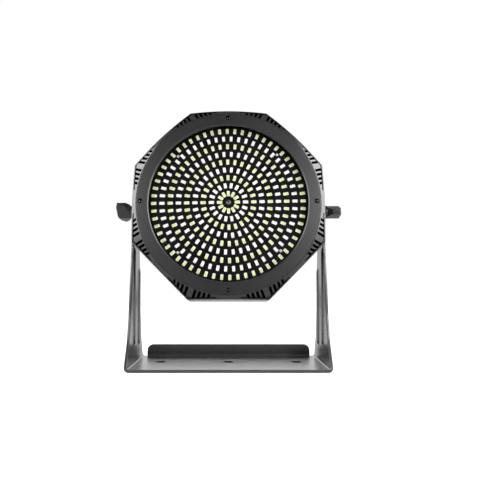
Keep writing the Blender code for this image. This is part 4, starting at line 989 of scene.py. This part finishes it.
def makeRearShell():
    size = rearSizes
    low, high = lampBox("rear_shell")
    tubRear = -low.z
    flangeFront = shellRear - size["flangeThick"]
    outside = octagonOutline(size["tubAcross"], size["tubCorner"], 5)
    tub = prism(outside, shellRear - size["flangeThick"] / 2, tubRear)
    rim = [edge for edge in tub.edges if all(abs(vert.co.z + tubRear) < hair for vert in edge.verts)]
    shell = newObject("rear_shell_moulding", bevelled(tub, rim, size["rearEdge"], 5))
    flangeAcross = acrossFlats - 2 * shellSizes["wall"] - size["flangeGap"]
    flange = prism(octagonOutline(flangeAcross, size["flangeCorner"]), flangeFront, shellRear)
    carve(shell, flange, how="UNION")
    places = [translation(0, 0, -pivotDepth) @ turn for turn in sideTurn.values()]
    start = -size["bossStart"]
    for place in places:
        boss = spun(band(0, size["bossRadius"], start, -high.x), rounds["part"], size["bossEdge"])
        carve(shell, moved(boss, place), how="UNION")
    inside = octagonOutline(size["tubAcross"] - 2 * size["wall"], size["hollowCorner"])
    hollow = newObject("hollow", prism(inside, flangeFront - 2 * mm, tubRear - size["wall"]))
    radius, reach = size["bossRoom"]
    for place in places:
        carve(hollow, moved(cylinder(radius, -reach, start, steps=rounds["part"]), place))
    carve(shell, hollow)
    softenEdges(shell, size["edge"])
    carve(shell, *panelOpenings(tubRear))
    bores = [moved(cylinder(size["bore"], -high.x - 2 * mm, -size["boreStart"]), place) for place in places]
    screws = [f"rear_screw_{number}" for number in range(1, 5)]
    front, rear = flangeFront - mm, shellRear + mm
    carve(shell, *bores, *holesAt(screws, size["screwHole"], front, rear, rounds["pin"]))
    finishPiece(shell, [housingBlack], ["rear_shell"])


# A cutter for a rounded opening with a fine chamfer where it meets the face
def flared(wide, tall, x, y, radius, inside, face):
    flare = rearSizes["flare"]
    loose = flare + mm
    cutter = prism(softened(rectangle(wide, tall, x, y), radius, 6), inside, face - flare)
    outline = softened(rectangle(wide + 2 * loose, tall + 2 * loose, x, y), radius + loose, 6)
    rim = min(cutter.faces, key=lambda item: item.calc_center_median().z)
    grown = bmesh.ops.extrude_face_region(cutter, geom=[rim])["geom"]
    bmesh.ops.delete(cutter, geom=[rim], context="FACES_ONLY")
    for vert in onlyKind(grown, bmesh.types.BMVert):
        nearest = min(outline, key=lambda spot: (spot - vert.co.xy).length)
        vert.co = (*nearest, -face - mm)
    return facedOut(cutter)


# Cutters for the display, buttons, sockets, fan grille and fan screws
def panelOpenings(tubRear):
    size = rearSizes
    inside, outside = tubRear - size["wall"] - 2 * mm, tubRear + 2 * mm
    low, high = lampBox("display_window")
    gap, ledge = size["displayGap"], size["displayLedge"]
    wide, tall = high.x - low.x + 2 * gap, high.y - low.y + 2 * gap
    middle = (low.y + high.y) / 2
    seat = softened(rectangle(wide, tall, 0, middle), size["displayCorner"])
    inlet = softened(rectangle(*size["inletHole"], 0, atSpot("power_inlet").y), size["inletCorner"])
    shapes = [prism(seat, -high.z - gap, outside),
              prism(rectangle(wide - 2 * ledge, tall - 2 * ledge, 0, middle), inside, outside),
              *holesAt(buttonNodes, size["buttonHole"], inside, outside, rounds["cap"]),
              prism(inlet, inside, outside),
              *holesAt(("dmx_input", "dmx_output"), size["signalHole"], inside, outside, rounds["part"])]
    fanHeight = atSpot("fan_rotor").y
    slot = size["grilleSlot"]
    for number in range(size["grilleSlots"]):
        up = (number - (size["grilleSlots"] - 1) / 2) * size["grillePitch"]
        half = math.sqrt(size["grilleReach"] ** 2 - up ** 2)
        shapes.append(flared(2 * half, slot, 0, fanHeight + up, slot / 2, inside, tubRear))
    screws = ("fan_screw_lower", "fan_screw_upper")
    return shapes + holesAt(screws, size["fanScrewHole"], inside, outside, rounds["pin"])


makeRearShell()
print("rear shell made")


# Display, buttons and sockets

displaySizes = {
    "corner": 0.5 * mm,
    "edge": 0.2 * mm,
    "pitch": 7.4 * mm,
    "segment": (3.0 * mm, 0.62 * mm, 0.06 * mm),
    "segmentEdge": 0.02 * mm,
    "across": 1.75 * mm,
    "up": 3.6 * mm,
    "slant": 0.35 * mm,
    "bars": ((0, 1, 0), (0, 0, 0), (0, -1, 0), (-1, 0.5, 1), (1, 0.5, 1), (-1, -0.5, 1), (1, -0.5, 1)),
}
buttonSizes = {
    "radius": 3.2 * mm,
    "flangeBack": 81.2 * mm,    # depths behind the bezel's face
    "flangeThick": 1.0 * mm,
    "stem": 1.8 * mm,
    "dish": (0.62, 0.72),       # where the hollow of the face ends, as shares of the radius
    "dishDeep": 0.12 * mm,
    "edges": [0, 0.2 * mm, 0.2 * mm, 0.5 * mm] + [0.1 * mm] * 5 + [0],
}
socketSizes = {
    "plateThick": 2.0 * mm,
    "plateCorner": 3.0 * mm,
    "edge": 0.35 * mm,
    "sunk": 0.5 * mm,           # how far the body stops short of the plate's face
    "inletBody": (27.4 * mm, 19.8 * mm),
    "inletCorner": 0.8 * mm,
    "well": (23.5 * mm, 16.0 * mm, 15.0 * mm),
    "wellCorner": 4.5 * mm,
    "wellBend": 0.7 * mm,
    "wellEdge": 0.2 * mm,
    "blade": (2.0 * mm, 4.2 * mm, 12.5 * mm),
    "bladeEdge": 0.35 * mm,
    "bladeUp": 5.5 * mm,        # its middle, from the floor of the well
    "blades": ((-7.0 * mm, -2.5 * mm), (0, 2.5 * mm), (7.0 * mm, -2.5 * mm)),
    "roundBody": 9.5 * mm,
    "roundEdge": 0.15 * mm,
    "ringWell": 7.8 * mm,
    "ringWellDeep": 12.0 * mm,
    "pinCircle": 3.5 * mm,
    "pinAngles": (150, 30, 270),
    "pin": (1.2 * mm, 5.2 * mm, 12.5 * mm),           # radius, and depths of its ends
    "pinEdge": 0.5 * mm,
    "pinHole": (1.4 * mm, 10 * mm),
    "contact": (1.0 * mm, 1.36 * mm, 1.2 * mm, 9 * mm),   # inner and outer radius, depths of its ends
}


def makeDisplay():
    size = displaySizes
    low, high = lampBox("display_window")
    middle = (low.y + high.y) / 2
    outline = softened(rectangle(high.x - low.x, high.y - low.y, 0, middle), size["corner"])
    plate = softenEdges(newObject("display_window_plate", prism(outline, -high.z, -low.z)), size["edge"])
    finishPiece(plate, [displayRed], ["display_window"])
    digits = bmesh.new()
    long, thin, high = size["segment"]
    for number in range(4):
        centre = (number - 1.5) * size["pitch"]
        for side, up, upright in size["bars"]:
            bar = (thin, long, high) if upright else (long, thin, high)
            across = centre + side * size["across"] + up * size["slant"]
            spot = (across, middle + up * size["up"], low.z - high / 2)
            merged(digits, softBox(bar, spot, size["segmentEdge"], 1))
    finishPiece(newObject("display_segments", digits), [segmentGrey])


def makeButtons():
    size = buttonSizes
    radius, stem, back = size["radius"], size["stem"], size["flangeBack"]
    front = back - size["flangeThick"]
    dishInner, dishOuter = (share * radius for share in size["dish"])
    for node in buttonNodes:
        low, high = lampBox(node)
        spot = atSpot(node)
        top, flange = -low.z, (high.x - low.x) / 2
        floor = top - size["dishDeep"]
        profile = [(0, floor), (dishInner, floor), (dishOuter, top), (radius, top), (radius, back),
                   (flange, back), (flange, front), (stem, front), (stem, -high.z), (0, -high.z)]
        thing = newObject(node + "_cap", spun(profile, rounds["cap"], size["edges"]))
        place = lampPlace @ translation(spot.x, spot.y, 0)
        finishPiece(thing, [rubberBlack], [node], node, place)


# Flange plate of a socket with its body behind it
def socketPlate(node, body):
    size = socketSizes
    low, high = lampBox(node)
    sides = rectangle(high.x - low.x, high.y - low.y, *atSpot(node).xy)
    outline = softened(sides, size["plateCorner"], 6)
    plate = newObject(node + "_socket", prism(outline, -low.z - size["plateThick"], -low.z))
    softenEdges(plate, size["edge"], 3)
    return carve(plate, body, how="UNION")


def makeInlet():
    size = socketSizes
    low, high = lampBox("power_inlet")
    y, rear = atSpot("power_inlet").y, -low.z
    outline = softened(rectangle(*size["inletBody"], 0, y), size["inletCorner"])
    inlet = socketPlate("power_inlet", prism(outline, -high.z, rear - size["sunk"]))
    wide, tall, deep = size["well"]
    wide, tall, corner = wide / 2, tall / 2, size["wellCorner"]
    points = [(-wide, y - tall), (wide, y - tall), (wide, y + tall - corner), (wide - corner, y + tall),
              (-wide + corner, y + tall), (-wide, y + tall - corner)]
    carve(inlet, prism(softened(points, size["wellBend"], 3), rear - deep, rear + mm))
    softenEdges(inlet, size["wellEdge"], 2, 50)
    finishPiece(inlet, [socketBlack], ["power_inlet"])
    blades = bmesh.new()
    for across, up in size["blades"]:
        merged(blades, softBox(size["blade"], (across, y + up, deep - rear - size["bladeUp"]),
                               size["bladeEdge"], 3))
    finishPiece(newObject("power_inlet_pins", blades), [plainSteel])


def makeSignalSocket(node, pinsOut):
    size = socketSizes
    low, high = lampBox(node)
    x, y = atSpot(node).xy
    rear = -low.z
    body = cylinder(size["roundBody"], -high.z, rear - size["sunk"], x, y, rounds["part"])
    socket = socketPlate(node, body)
    metal = bmesh.new()
    if pinsOut:
        well, floor, sunk = size["ringWell"], rear - size["ringWellDeep"], size["sunk"]
        profile = [(0, floor), (well, floor), (well, rear - sunk), (well + mm, rear + sunk),
                   (0, rear + sunk)]
        carve(socket, moved(spun(profile, rounds["part"]), translation(x, y, 0)))
    for angle in map(math.radians, size["pinAngles"]):
        across, up = x + size["pinCircle"] * math.cos(angle), y + size["pinCircle"] * math.sin(angle)
        if pinsOut:
            radius, end, root = size["pin"]
            profile = band(0, radius, rear - end, rear - root)
            contact = spun(profile, rounds["pin"], size["pinEdge"], 4)
        else:
            radius, deep = size["pinHole"]
            carve(socket, cylinder(radius, rear - deep, rear + mm, across, up, rounds["hole"]))
            inner, outer, end, root = size["contact"]
            contact = spun(band(inner, outer, rear - end, rear - root), rounds["pin"])
        merged(metal, moved(contact, translation(across, up, 0)))
    softenEdges(socket, size["roundEdge"], 2, 50)
    finishPiece(socket, [socketBlack], [node])
    finishPiece(newObject(node + "_contacts", metal), [plainSteel])


makeDisplay()
makeButtons()
makeInlet()
makeSignalSocket("dmx_input", True)
makeSignalSocket("dmx_output", False)
print("panel made")


# Clamp: washers, studs and wing knobs

knobSizes = {
    "hubRadius": 6.8 * mm,
    "hubHigh": 3.0 * mm,
    "hubEdge": 0.5 * mm,
    "high": 15.5 * mm,
    "reach": 12.3 * mm,
    "thick": 13.0 * mm,         # across the middle, and across the tips of the wings
    "tip": 5.0 * mm,
    "middle": 2.2 * mm,
    "neck": 0.92,               # share of the hub's radius
    "sunk": 0.6 * mm,           # how far the wings reach into the hub
    "shoulder": 6.8 * mm,
    "rearEnd": (8.0 * mm, 8.5 * mm, 11.6 * mm, 14.4 * mm),
    "planBends": [1.2 * mm, 5 * mm, 5 * mm, 1.2 * mm] * 2,
    "sideBends": [0, 0, mm, 1.2 * mm, 8 * mm, 20 * mm, 1.2 * mm, mm],
    "edge": 0.6 * mm,
    "turn": {"left": math.radians(30), "right": math.radians(-8)},
}
clampSizes = {
    "bore": 3.3 * mm,
    "boreRoom": 0.3 * mm,
    "rings": (("pivot_insert", "sleeve", turnedBrass, "brass", 0.3 * mm),
              ("friction_washer", "disc", rubberBlack, "rubber", 0.4 * mm),
              ("outer_washer", "disc", plainSteel, "screw_steel", 0.3 * mm)),
    "stud": (3.0 * mm, 2.4 * mm, 0.2 * mm),   # radius, radius at its inner end, edge
}


# The hub's underside lies at z = 0, +Z points outwards and the wings lie along Y
def knobShape(name, bore, boreDeep):
    size = knobSizes
    high, reach, radius, hub = size["high"], size["reach"], size["hubRadius"], size["hubHigh"]
    low, neck = hub - size["sunk"], size["neck"] * radius
    tip, thick, middle = size["tip"] / 2, size["thick"] / 2, size["middle"]
    half = [(-reach, -tip), (-middle, -thick), (middle, -thick), (reach, -tip)]
    plan = half + [(-x, -y) for x, y in half]
    knob = newObject(name, prism(softened(plan, size["planBends"], 5), -high - mm, mm - low))
    endHigh, away, backHigh, midHigh = size["rearEnd"]
    side = [(-neck, low), (neck, low), (reach, size["shoulder"]), (reach, endHigh), (away, backHigh),
            (0, midHigh), (-reach, high), (-reach, size["shoulder"])]
    profile = prism(softened(side, size["sideBends"], 6), -thick - mm, thick + mm)
    carve(knob, moved(profile, rotation(quarter, "X")), how="INTERSECT")
    knob.data.transform(rotation(quarter))
    softenEdges(knob, size["edge"], 3, 40)
    carve(knob, spun(band(0, radius, 0, -hub), rounds["part"], size["hubEdge"]), how="UNION")
    return carve(knob, cylinder(bore, -boreDeep, mm, steps=rounds["hole"]))


def nearAndFar(node):   # ends of a turned node of the clamp, from the middle of the lamp
    low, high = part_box(node)
    return sorted(abs(value) for value in (low.x, high.x))


def makeClamp(side, word):
    place = headPlace @ sideTurn[side]
    bore = clampSizes["bore"]
    for kind, ending, material, slotName, edge in clampSizes["rings"]:
        node = f"{kind}_{word}"
        low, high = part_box(node)
        near, far = nearAndFar(node)
        profile = band(bore, (high.y - low.y) / 2, -far, -near)
        thing = newObject(f"{node}_{ending}", spun(profile, rounds["part"], edge))
        body = "washer_" + word if kind == "outer_washer" else "head"
        finishPiece(thing, [material], [node], body, place)
    radius, innerEnd, edge = clampSizes["stud"]
    node = "knob_stud_" + word
    near, far = nearAndFar(node)
    profile = [(0, -far), (radius, -far), (radius, -near - mm), (innerEnd, -near), (0, -near)]
    thing = newObject(node + "_rod", spun(profile, rounds["rod"], edge))
    finishPiece(thing, [plainSteel], [node], "knob_" + word, place)
    node = "knob_" + word
    base = nearAndFar(node)[0]
    knob = knobShape(node + "_wings", bore, far + clampSizes["boreRoom"] - base)
    spin = rotation(-knobSizes["turn"][word], "X")
    place = headPlace @ spin @ sideTurn[side] @ translation(0, 0, base)
    finishPiece(knob, [knobBlack], [node], node, place)


makeClamp(-1, "left")
makeClamp(1, "right")
print("clamp made")


# Stand: one sheet, bent up at both sides and at the rear, with two pressed beads in each arm

standSizes = {
    "sheet": 3.0 * mm,
    "bend": 5.0 * mm,
    "armTop": 12.0 * mm,
    "frontKnees": ((13.5 * mm, 23.5 * mm), (19.5 * mm, 48.0 * mm), (26.5 * mm, 104.5 * mm)),
    "rearKnees": ((14.0 * mm, 21.0 * mm), (24.5 * mm, 50.0 * mm), (38.3 * mm, 106.0 * mm)),
    "kneeRadius": 30.0 * mm,
    "lipHalf": 90.0 * mm,
    "lipHigh": 12.2 * mm,
    "lipCorner": 6.5 * mm,
    "notchWide": 1.2 * mm,
    "notchLong": 6.0 * mm,
    "holeRadius": 5.4 * mm,
    "holeFlare": 0.2 * mm,
    "pivotHole": 3.6 * mm,
    "beads": (((41.5 * mm, 20.0 * mm), (30.5 * mm, 112.0 * mm)),
              ((70.0 * mm, 18.0 * mm), (64.0 * mm, 92.0 * mm))),
    "beadWide": 2.9 * mm,
    "beadHigh": 1.3 * mm,
    "edge": 0.55 * mm,
    "columns": 72,
    "margin": 0.9 * mm,         # width of the first column, where the rounded edge fits
    "rowStep": 2.2 * mm,
}
middleHole = next(item for item in record["physics"]["openings"] if item["name"] == "plate_hole_middle")
holeLine = sum(corner[1] for corner in middleHole["box_m"]) / 2


# One edge of an arm, as (along Y, up) points from the floor to the round top
def edgeLine(knees, start, way, sheet, top):
    points = [(start, 0.0), (start, sheet)] + [(start + way * across, sheet + up) for across, up in knees]
    knee = Vector(points[-1]) - Vector((0, pivot.z))
    spread = math.acos(top / knee.length)
    touch = Matrix.Rotation(way * -spread, 2) @ (knee.normalized() * top)
    points.append((touch.x, pivot.z + touch.y))
    return softened(points, standSizes["kneeRadius"], 6, closed=False)


# How far an edge of the arm lies along Y at a height
def reachAt(line, height, way, top):
    for low, high in zip(line, line[1:]):
        if low.y <= height <= high.y and high.y > low.y:
            return low.x + (high.x - low.x) * (height - low.y) / (high.y - low.y)
    return -way * math.sqrt(max(0.0, top ** 2 - (height - pivot.z) ** 2))


# Height of a pressed bead at a place on an arm
def beadBump(along, up, front, sheet):
    bump = 0.0
    for ends in standSizes["beads"]:
        low, high = (Vector((front + y, sheet + z)) for y, z in ends)
        axis = high - low
        spot = Vector((along, up)) - low
        share = min(1.0, max(0.0, spot.dot(axis) / axis.length_squared))
        away = (spot - axis * share).length / standSizes["beadWide"]
        if away < 1:
            bump = max(bump, (1 - away ** 2) ** 2)
    return bump * standSizes["beadHigh"]


def makeStand():
    size = standSizes
    low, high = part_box("stand_bracket")
    sheet, bend, top, lip = size["sheet"], size["bend"], size["armTop"], size["lipHalf"]
    front, rear, outer = low.y, high.y, high.x
    middleRadius = bend - sheet / 2
    frontLine = edgeLine(size["frontKnees"], front, 1, sheet, top)
    rearLine = edgeLine(size["rearKnees"], rear, -1, sheet, top)

    # places on the sheet from its middle out and up an arm, as (x, up)
    stations = [(x, sheet / 2) for x in (0.0, 0.33 * lip, 0.66 * lip, lip, lip + size["notchWide"])]
    for step in range(9):
        angle = step * math.pi / 16
        x = outer - bend + middleRadius * math.sin(angle)
        stations.append((x, bend - middleRadius * math.cos(angle)))
    rise = pivot.z + 0.5 * mm - bend
    rows = int(rise / size["rowStep"])
    heights = [bend + rise * row / rows for row in range(1, rows + 1)]
    heights += [pivot.z + top * math.sin(step * math.pi / 24) for step in range(1, 13)]
    stations += [(outer - sheet / 2, up) for up in heights]

    columns, reach = size["columns"], (rear - size["notchLong"] - front) / (rear - front)
    shares = [reach * column / (columns - 1) for column in range(columns)] + [1.0]
    bm = bmesh.new()
    bmesh.ops.create_grid(bm, x_segments=len(stations) - 1, y_segments=len(shares) - 1, size=0.5)
    for vert in bm.verts:
        x, up = stations[round((vert.co.x + 0.5) * (len(stations) - 1))]
        share = shares[round((vert.co.y + 0.5) * (len(shares) - 1))]
        begin = reachAt(frontLine, up, 1, top)
        end = rear - bend if x <= lip and share == 1.0 else reachAt(rearLine, up, -1, top)
        margin = min(size["margin"], 0.2 * (end - begin))
        along = begin
        if share > 0:
            along += margin + (end - begin - margin) * (share - shares[1]) / (1 - shares[1])
        vert.co = (x - beadBump(along, up, front, sheet), along, up)
    notch = [face for face in bm.faces if lip < face.calc_center_median().x < outer - bend - mm
             and face.calc_center_median().y > rear - size["notchLong"]]
    bmesh.ops.delete(bm, geom=notch, context="FACES")
    rim = [edge for edge in bm.edges if edge.is_boundary
           and all(abs(vert.co.y - rear + bend) < hair and vert.co.x < lip + hair for vert in edge.verts)]
    ends = list({vert for edge in rim for vert in edge.verts})
    turned = bmesh.ops.spin(bm, geom=rim + ends, cent=(0, rear - bend, bend), axis=(1, 0, 0),
                            angle=quarter, steps=8)["geom_last"]
    grown = bmesh.ops.extrude_edge_only(bm, edges=onlyKind(turned, bmesh.types.BMEdge))["geom"]
    lifted = onlyKind(grown, bmesh.types.BMVert)
    bmesh.ops.translate(bm, verts=lifted, vec=(0, 0, sheet + size["lipHigh"] - bend))
    corner = max(lifted, key=lambda vert: vert.co.x)
    bevelled(bm, [corner], size["lipCorner"], 10, "VERTICES")
    bmesh.ops.mirror(bm, geom=bm.verts[:] + bm.edges[:] + bm.faces[:], axis="X", merge_dist=hair)
    bmesh.ops.remove_doubles(bm, verts=bm.verts, dist=hair)
    stand = newObject("stand_sheet", facedOut(bm))
    wall = stand.modifiers.new("sheet", "SOLIDIFY")
    wall.thickness = sheet
    wall.offset = 0
    wall.use_even_offset = True
    softenEdges(stand, size["edge"], 3, 50, clamp=False)

    hole, flare = size["holeRadius"], size["holeFlare"]
    wide = hole + flare + mm
    profile = [(0, mm), (wide, mm), (hole, -flare), (hole, flare - sheet), (wide, -sheet - mm),
               (0, -sheet - mm)]
    places = [(mounts["plate_top_" + word]["pos_m"][0], holeLine, 0) for word in ("left", "middle", "right")]
    holes = [moved(spun(profile, rounds["part"]), translation(*place)) for place in places]
    for turn in sideTurn.values():
        hole = cylinder(size["pivotHole"], -outer - mm, -outer + sheet + mm)
        holes.append(moved(hole, translation(*pivot) @ turn))
    # The walls of the holes get the near-black painted shade
    carve(stand, *holes, finish=1)
    finishPiece(stand, [standPaint, paintedShadeBlack], ["stand_bracket"], "stand", Matrix.Identity(4))


makeStand()
print("stand made")


# The CAD nodes that stay in view, or are seen only through the vents, get their finishes

def dressNodes():
    finishes = {"heat_spreader": bareAluminium, "driver_board": greenBoard, "control_board": greenBoard,
                "fan_frame": socketBlack, "fan_rotor": socketBlack, "led_lead": sheathRed,
                "mains_lead": sheathRed}
    for name, node in nodes.items():
        if not node.hide_render:
            node.data.materials.clear()
            node.data.materials.append(finishes.get(name, plainSteel if "screw" in name else housingBlack))


dressNodes()
print("nodes dressed")


# Studio: pale floor, soft lights, camera

studioSizes = {
    "floor": 8.0,
    "floorColour": (0.45, 0.45, 0.45),
    "floorClouds": (3.0, 4.0),
    "floorShade": 0.97,
    "floorRough": 0.7,
    "floorGlow": 0.90,          # what the camera sees of it, and what falls on the lamp
    "floorBounce": 0.12,
    "backdrop": 1.0,            # brightness of the white behind the lamp
    "behindLamp": 0.95,         # light that comes from behind, and from the front
    "aheadOfLamp": 0.02,
    "fadeRange": (-0.5, 0.45),
    "aboveLamp": 0.15,
    "aboveRange": (0.2, 0.8),
    "lights": {                 # place, target, width and height, power
        "key_soft": ((0.9, -1.4, 1.3), (0, 0, 0.15), (1.0, 0.8), 6),
        "left_front": ((-0.50, -1.2, 0.52), (0, 0, 0.15), (0.16, 0.22), 2.8),
        "right_front": ((0.50, -1.2, 0.52), (0, 0, 0.15), (0.16, 0.22), 4.8),
        "rear_soft": ((0, 1.3, 0.62), (0, 0, 0.0), (1.8, 0.35), 8),
        "left_soft": ((-1.2, -0.15, 0.58), (0, 0, 0.17), (0.9, 1.25), 27),
        "right_soft": ((1.2, -0.15, 0.58), (0, 0, 0.17), (0.9, 1.25), 30),
    },
    "camera": (0.0, -0.584, 0.0853),
    "pitch": 98.5,
    "lens": 42.2,
    "sensor": 36,
    "clip": (0.01, 50),
    "shift": (0.024, -0.091),
}


def makeLight(name, place, target, size, power):
    data = bpy.data.lights.new(name, "AREA")
    data.shape = "RECTANGLE"
    data.size, data.size_y = size
    data.energy = power
    lamp = linked(name, data)
    lamp.location = place
    lamp.rotation_euler = (Vector(target) - Vector(place)).to_track_quat("-Z", "Y").to_euler()
    lamp.visible_camera = False


def makeStudio():
    size = studioSizes
    bm = bmesh.new()
    bmesh.ops.create_grid(bm, x_segments=1, y_segments=1, size=size["floor"] / 2)
    floor = newObject("studio_floor", bm)
    pale = size["floorColour"]
    material, tree, shader, where = newMaterial("floorPale", pale)
    clouds = noise(tree, where, *size["floorClouds"])
    seen = addNode(tree, "LightPath")["Is Camera Ray"]
    glow = blendColour(tree, seen, [size["floorBounce"]] * 3, [size["floorGlow"]] * 3)
    shaded = [size["floorShade"] * part for part in pale]
    fill(tree, shader, {"Base Color": blendColour(tree, clouds, pale, shaded),
                        "Roughness": size["floorRough"], "Emission Color": glow, "Emission Strength": 1.0})
    floor.data.materials.append(material)

    world = bpy.data.worlds.new("studio")
    world.use_nodes = True
    tree = world.node_tree
    way = addNode(tree, "SeparateXYZ", {0: addNode(tree, "TexCoord")["Generated"]})
    fade = ranged(tree, way["Y"], size["fadeRange"], (size["aheadOfLamp"], size["behindLamp"]))
    shade = ranged(tree, way["Z"], size["aboveRange"], (1.0, size["aboveLamp"]))
    seen = addNode(tree, "LightPath")["Is Camera Ray"]
    inputs = {0: seen, 2: mathNode(tree, "MULTIPLY", fade, shade), 3: size["backdrop"]}
    strength = addNode(tree, "Mix", inputs, data_type="FLOAT")[0]
    fill(tree, tree.nodes["Background"], {"Color": (1, 1, 1, 1), "Strength": strength})
    bpy.context.scene.world = world

    for name, settings in size["lights"].items():
        makeLight(name, *settings)

    data = bpy.data.cameras.new("view")
    data.sensor_width = size["sensor"]
    data.lens = size["lens"]
    data.shift_x, data.shift_y = size["shift"]
    data.clip_start, data.clip_end = size["clip"]
    camera = linked("view", data)
    camera.location = size["camera"]
    camera.rotation_euler = (math.radians(size["pitch"]), 0, 0)
    bpy.context.scene.camera = camera
    bpy.context.scene.view_settings.view_transform = "Standard"


makeStudio()
print("studio made")
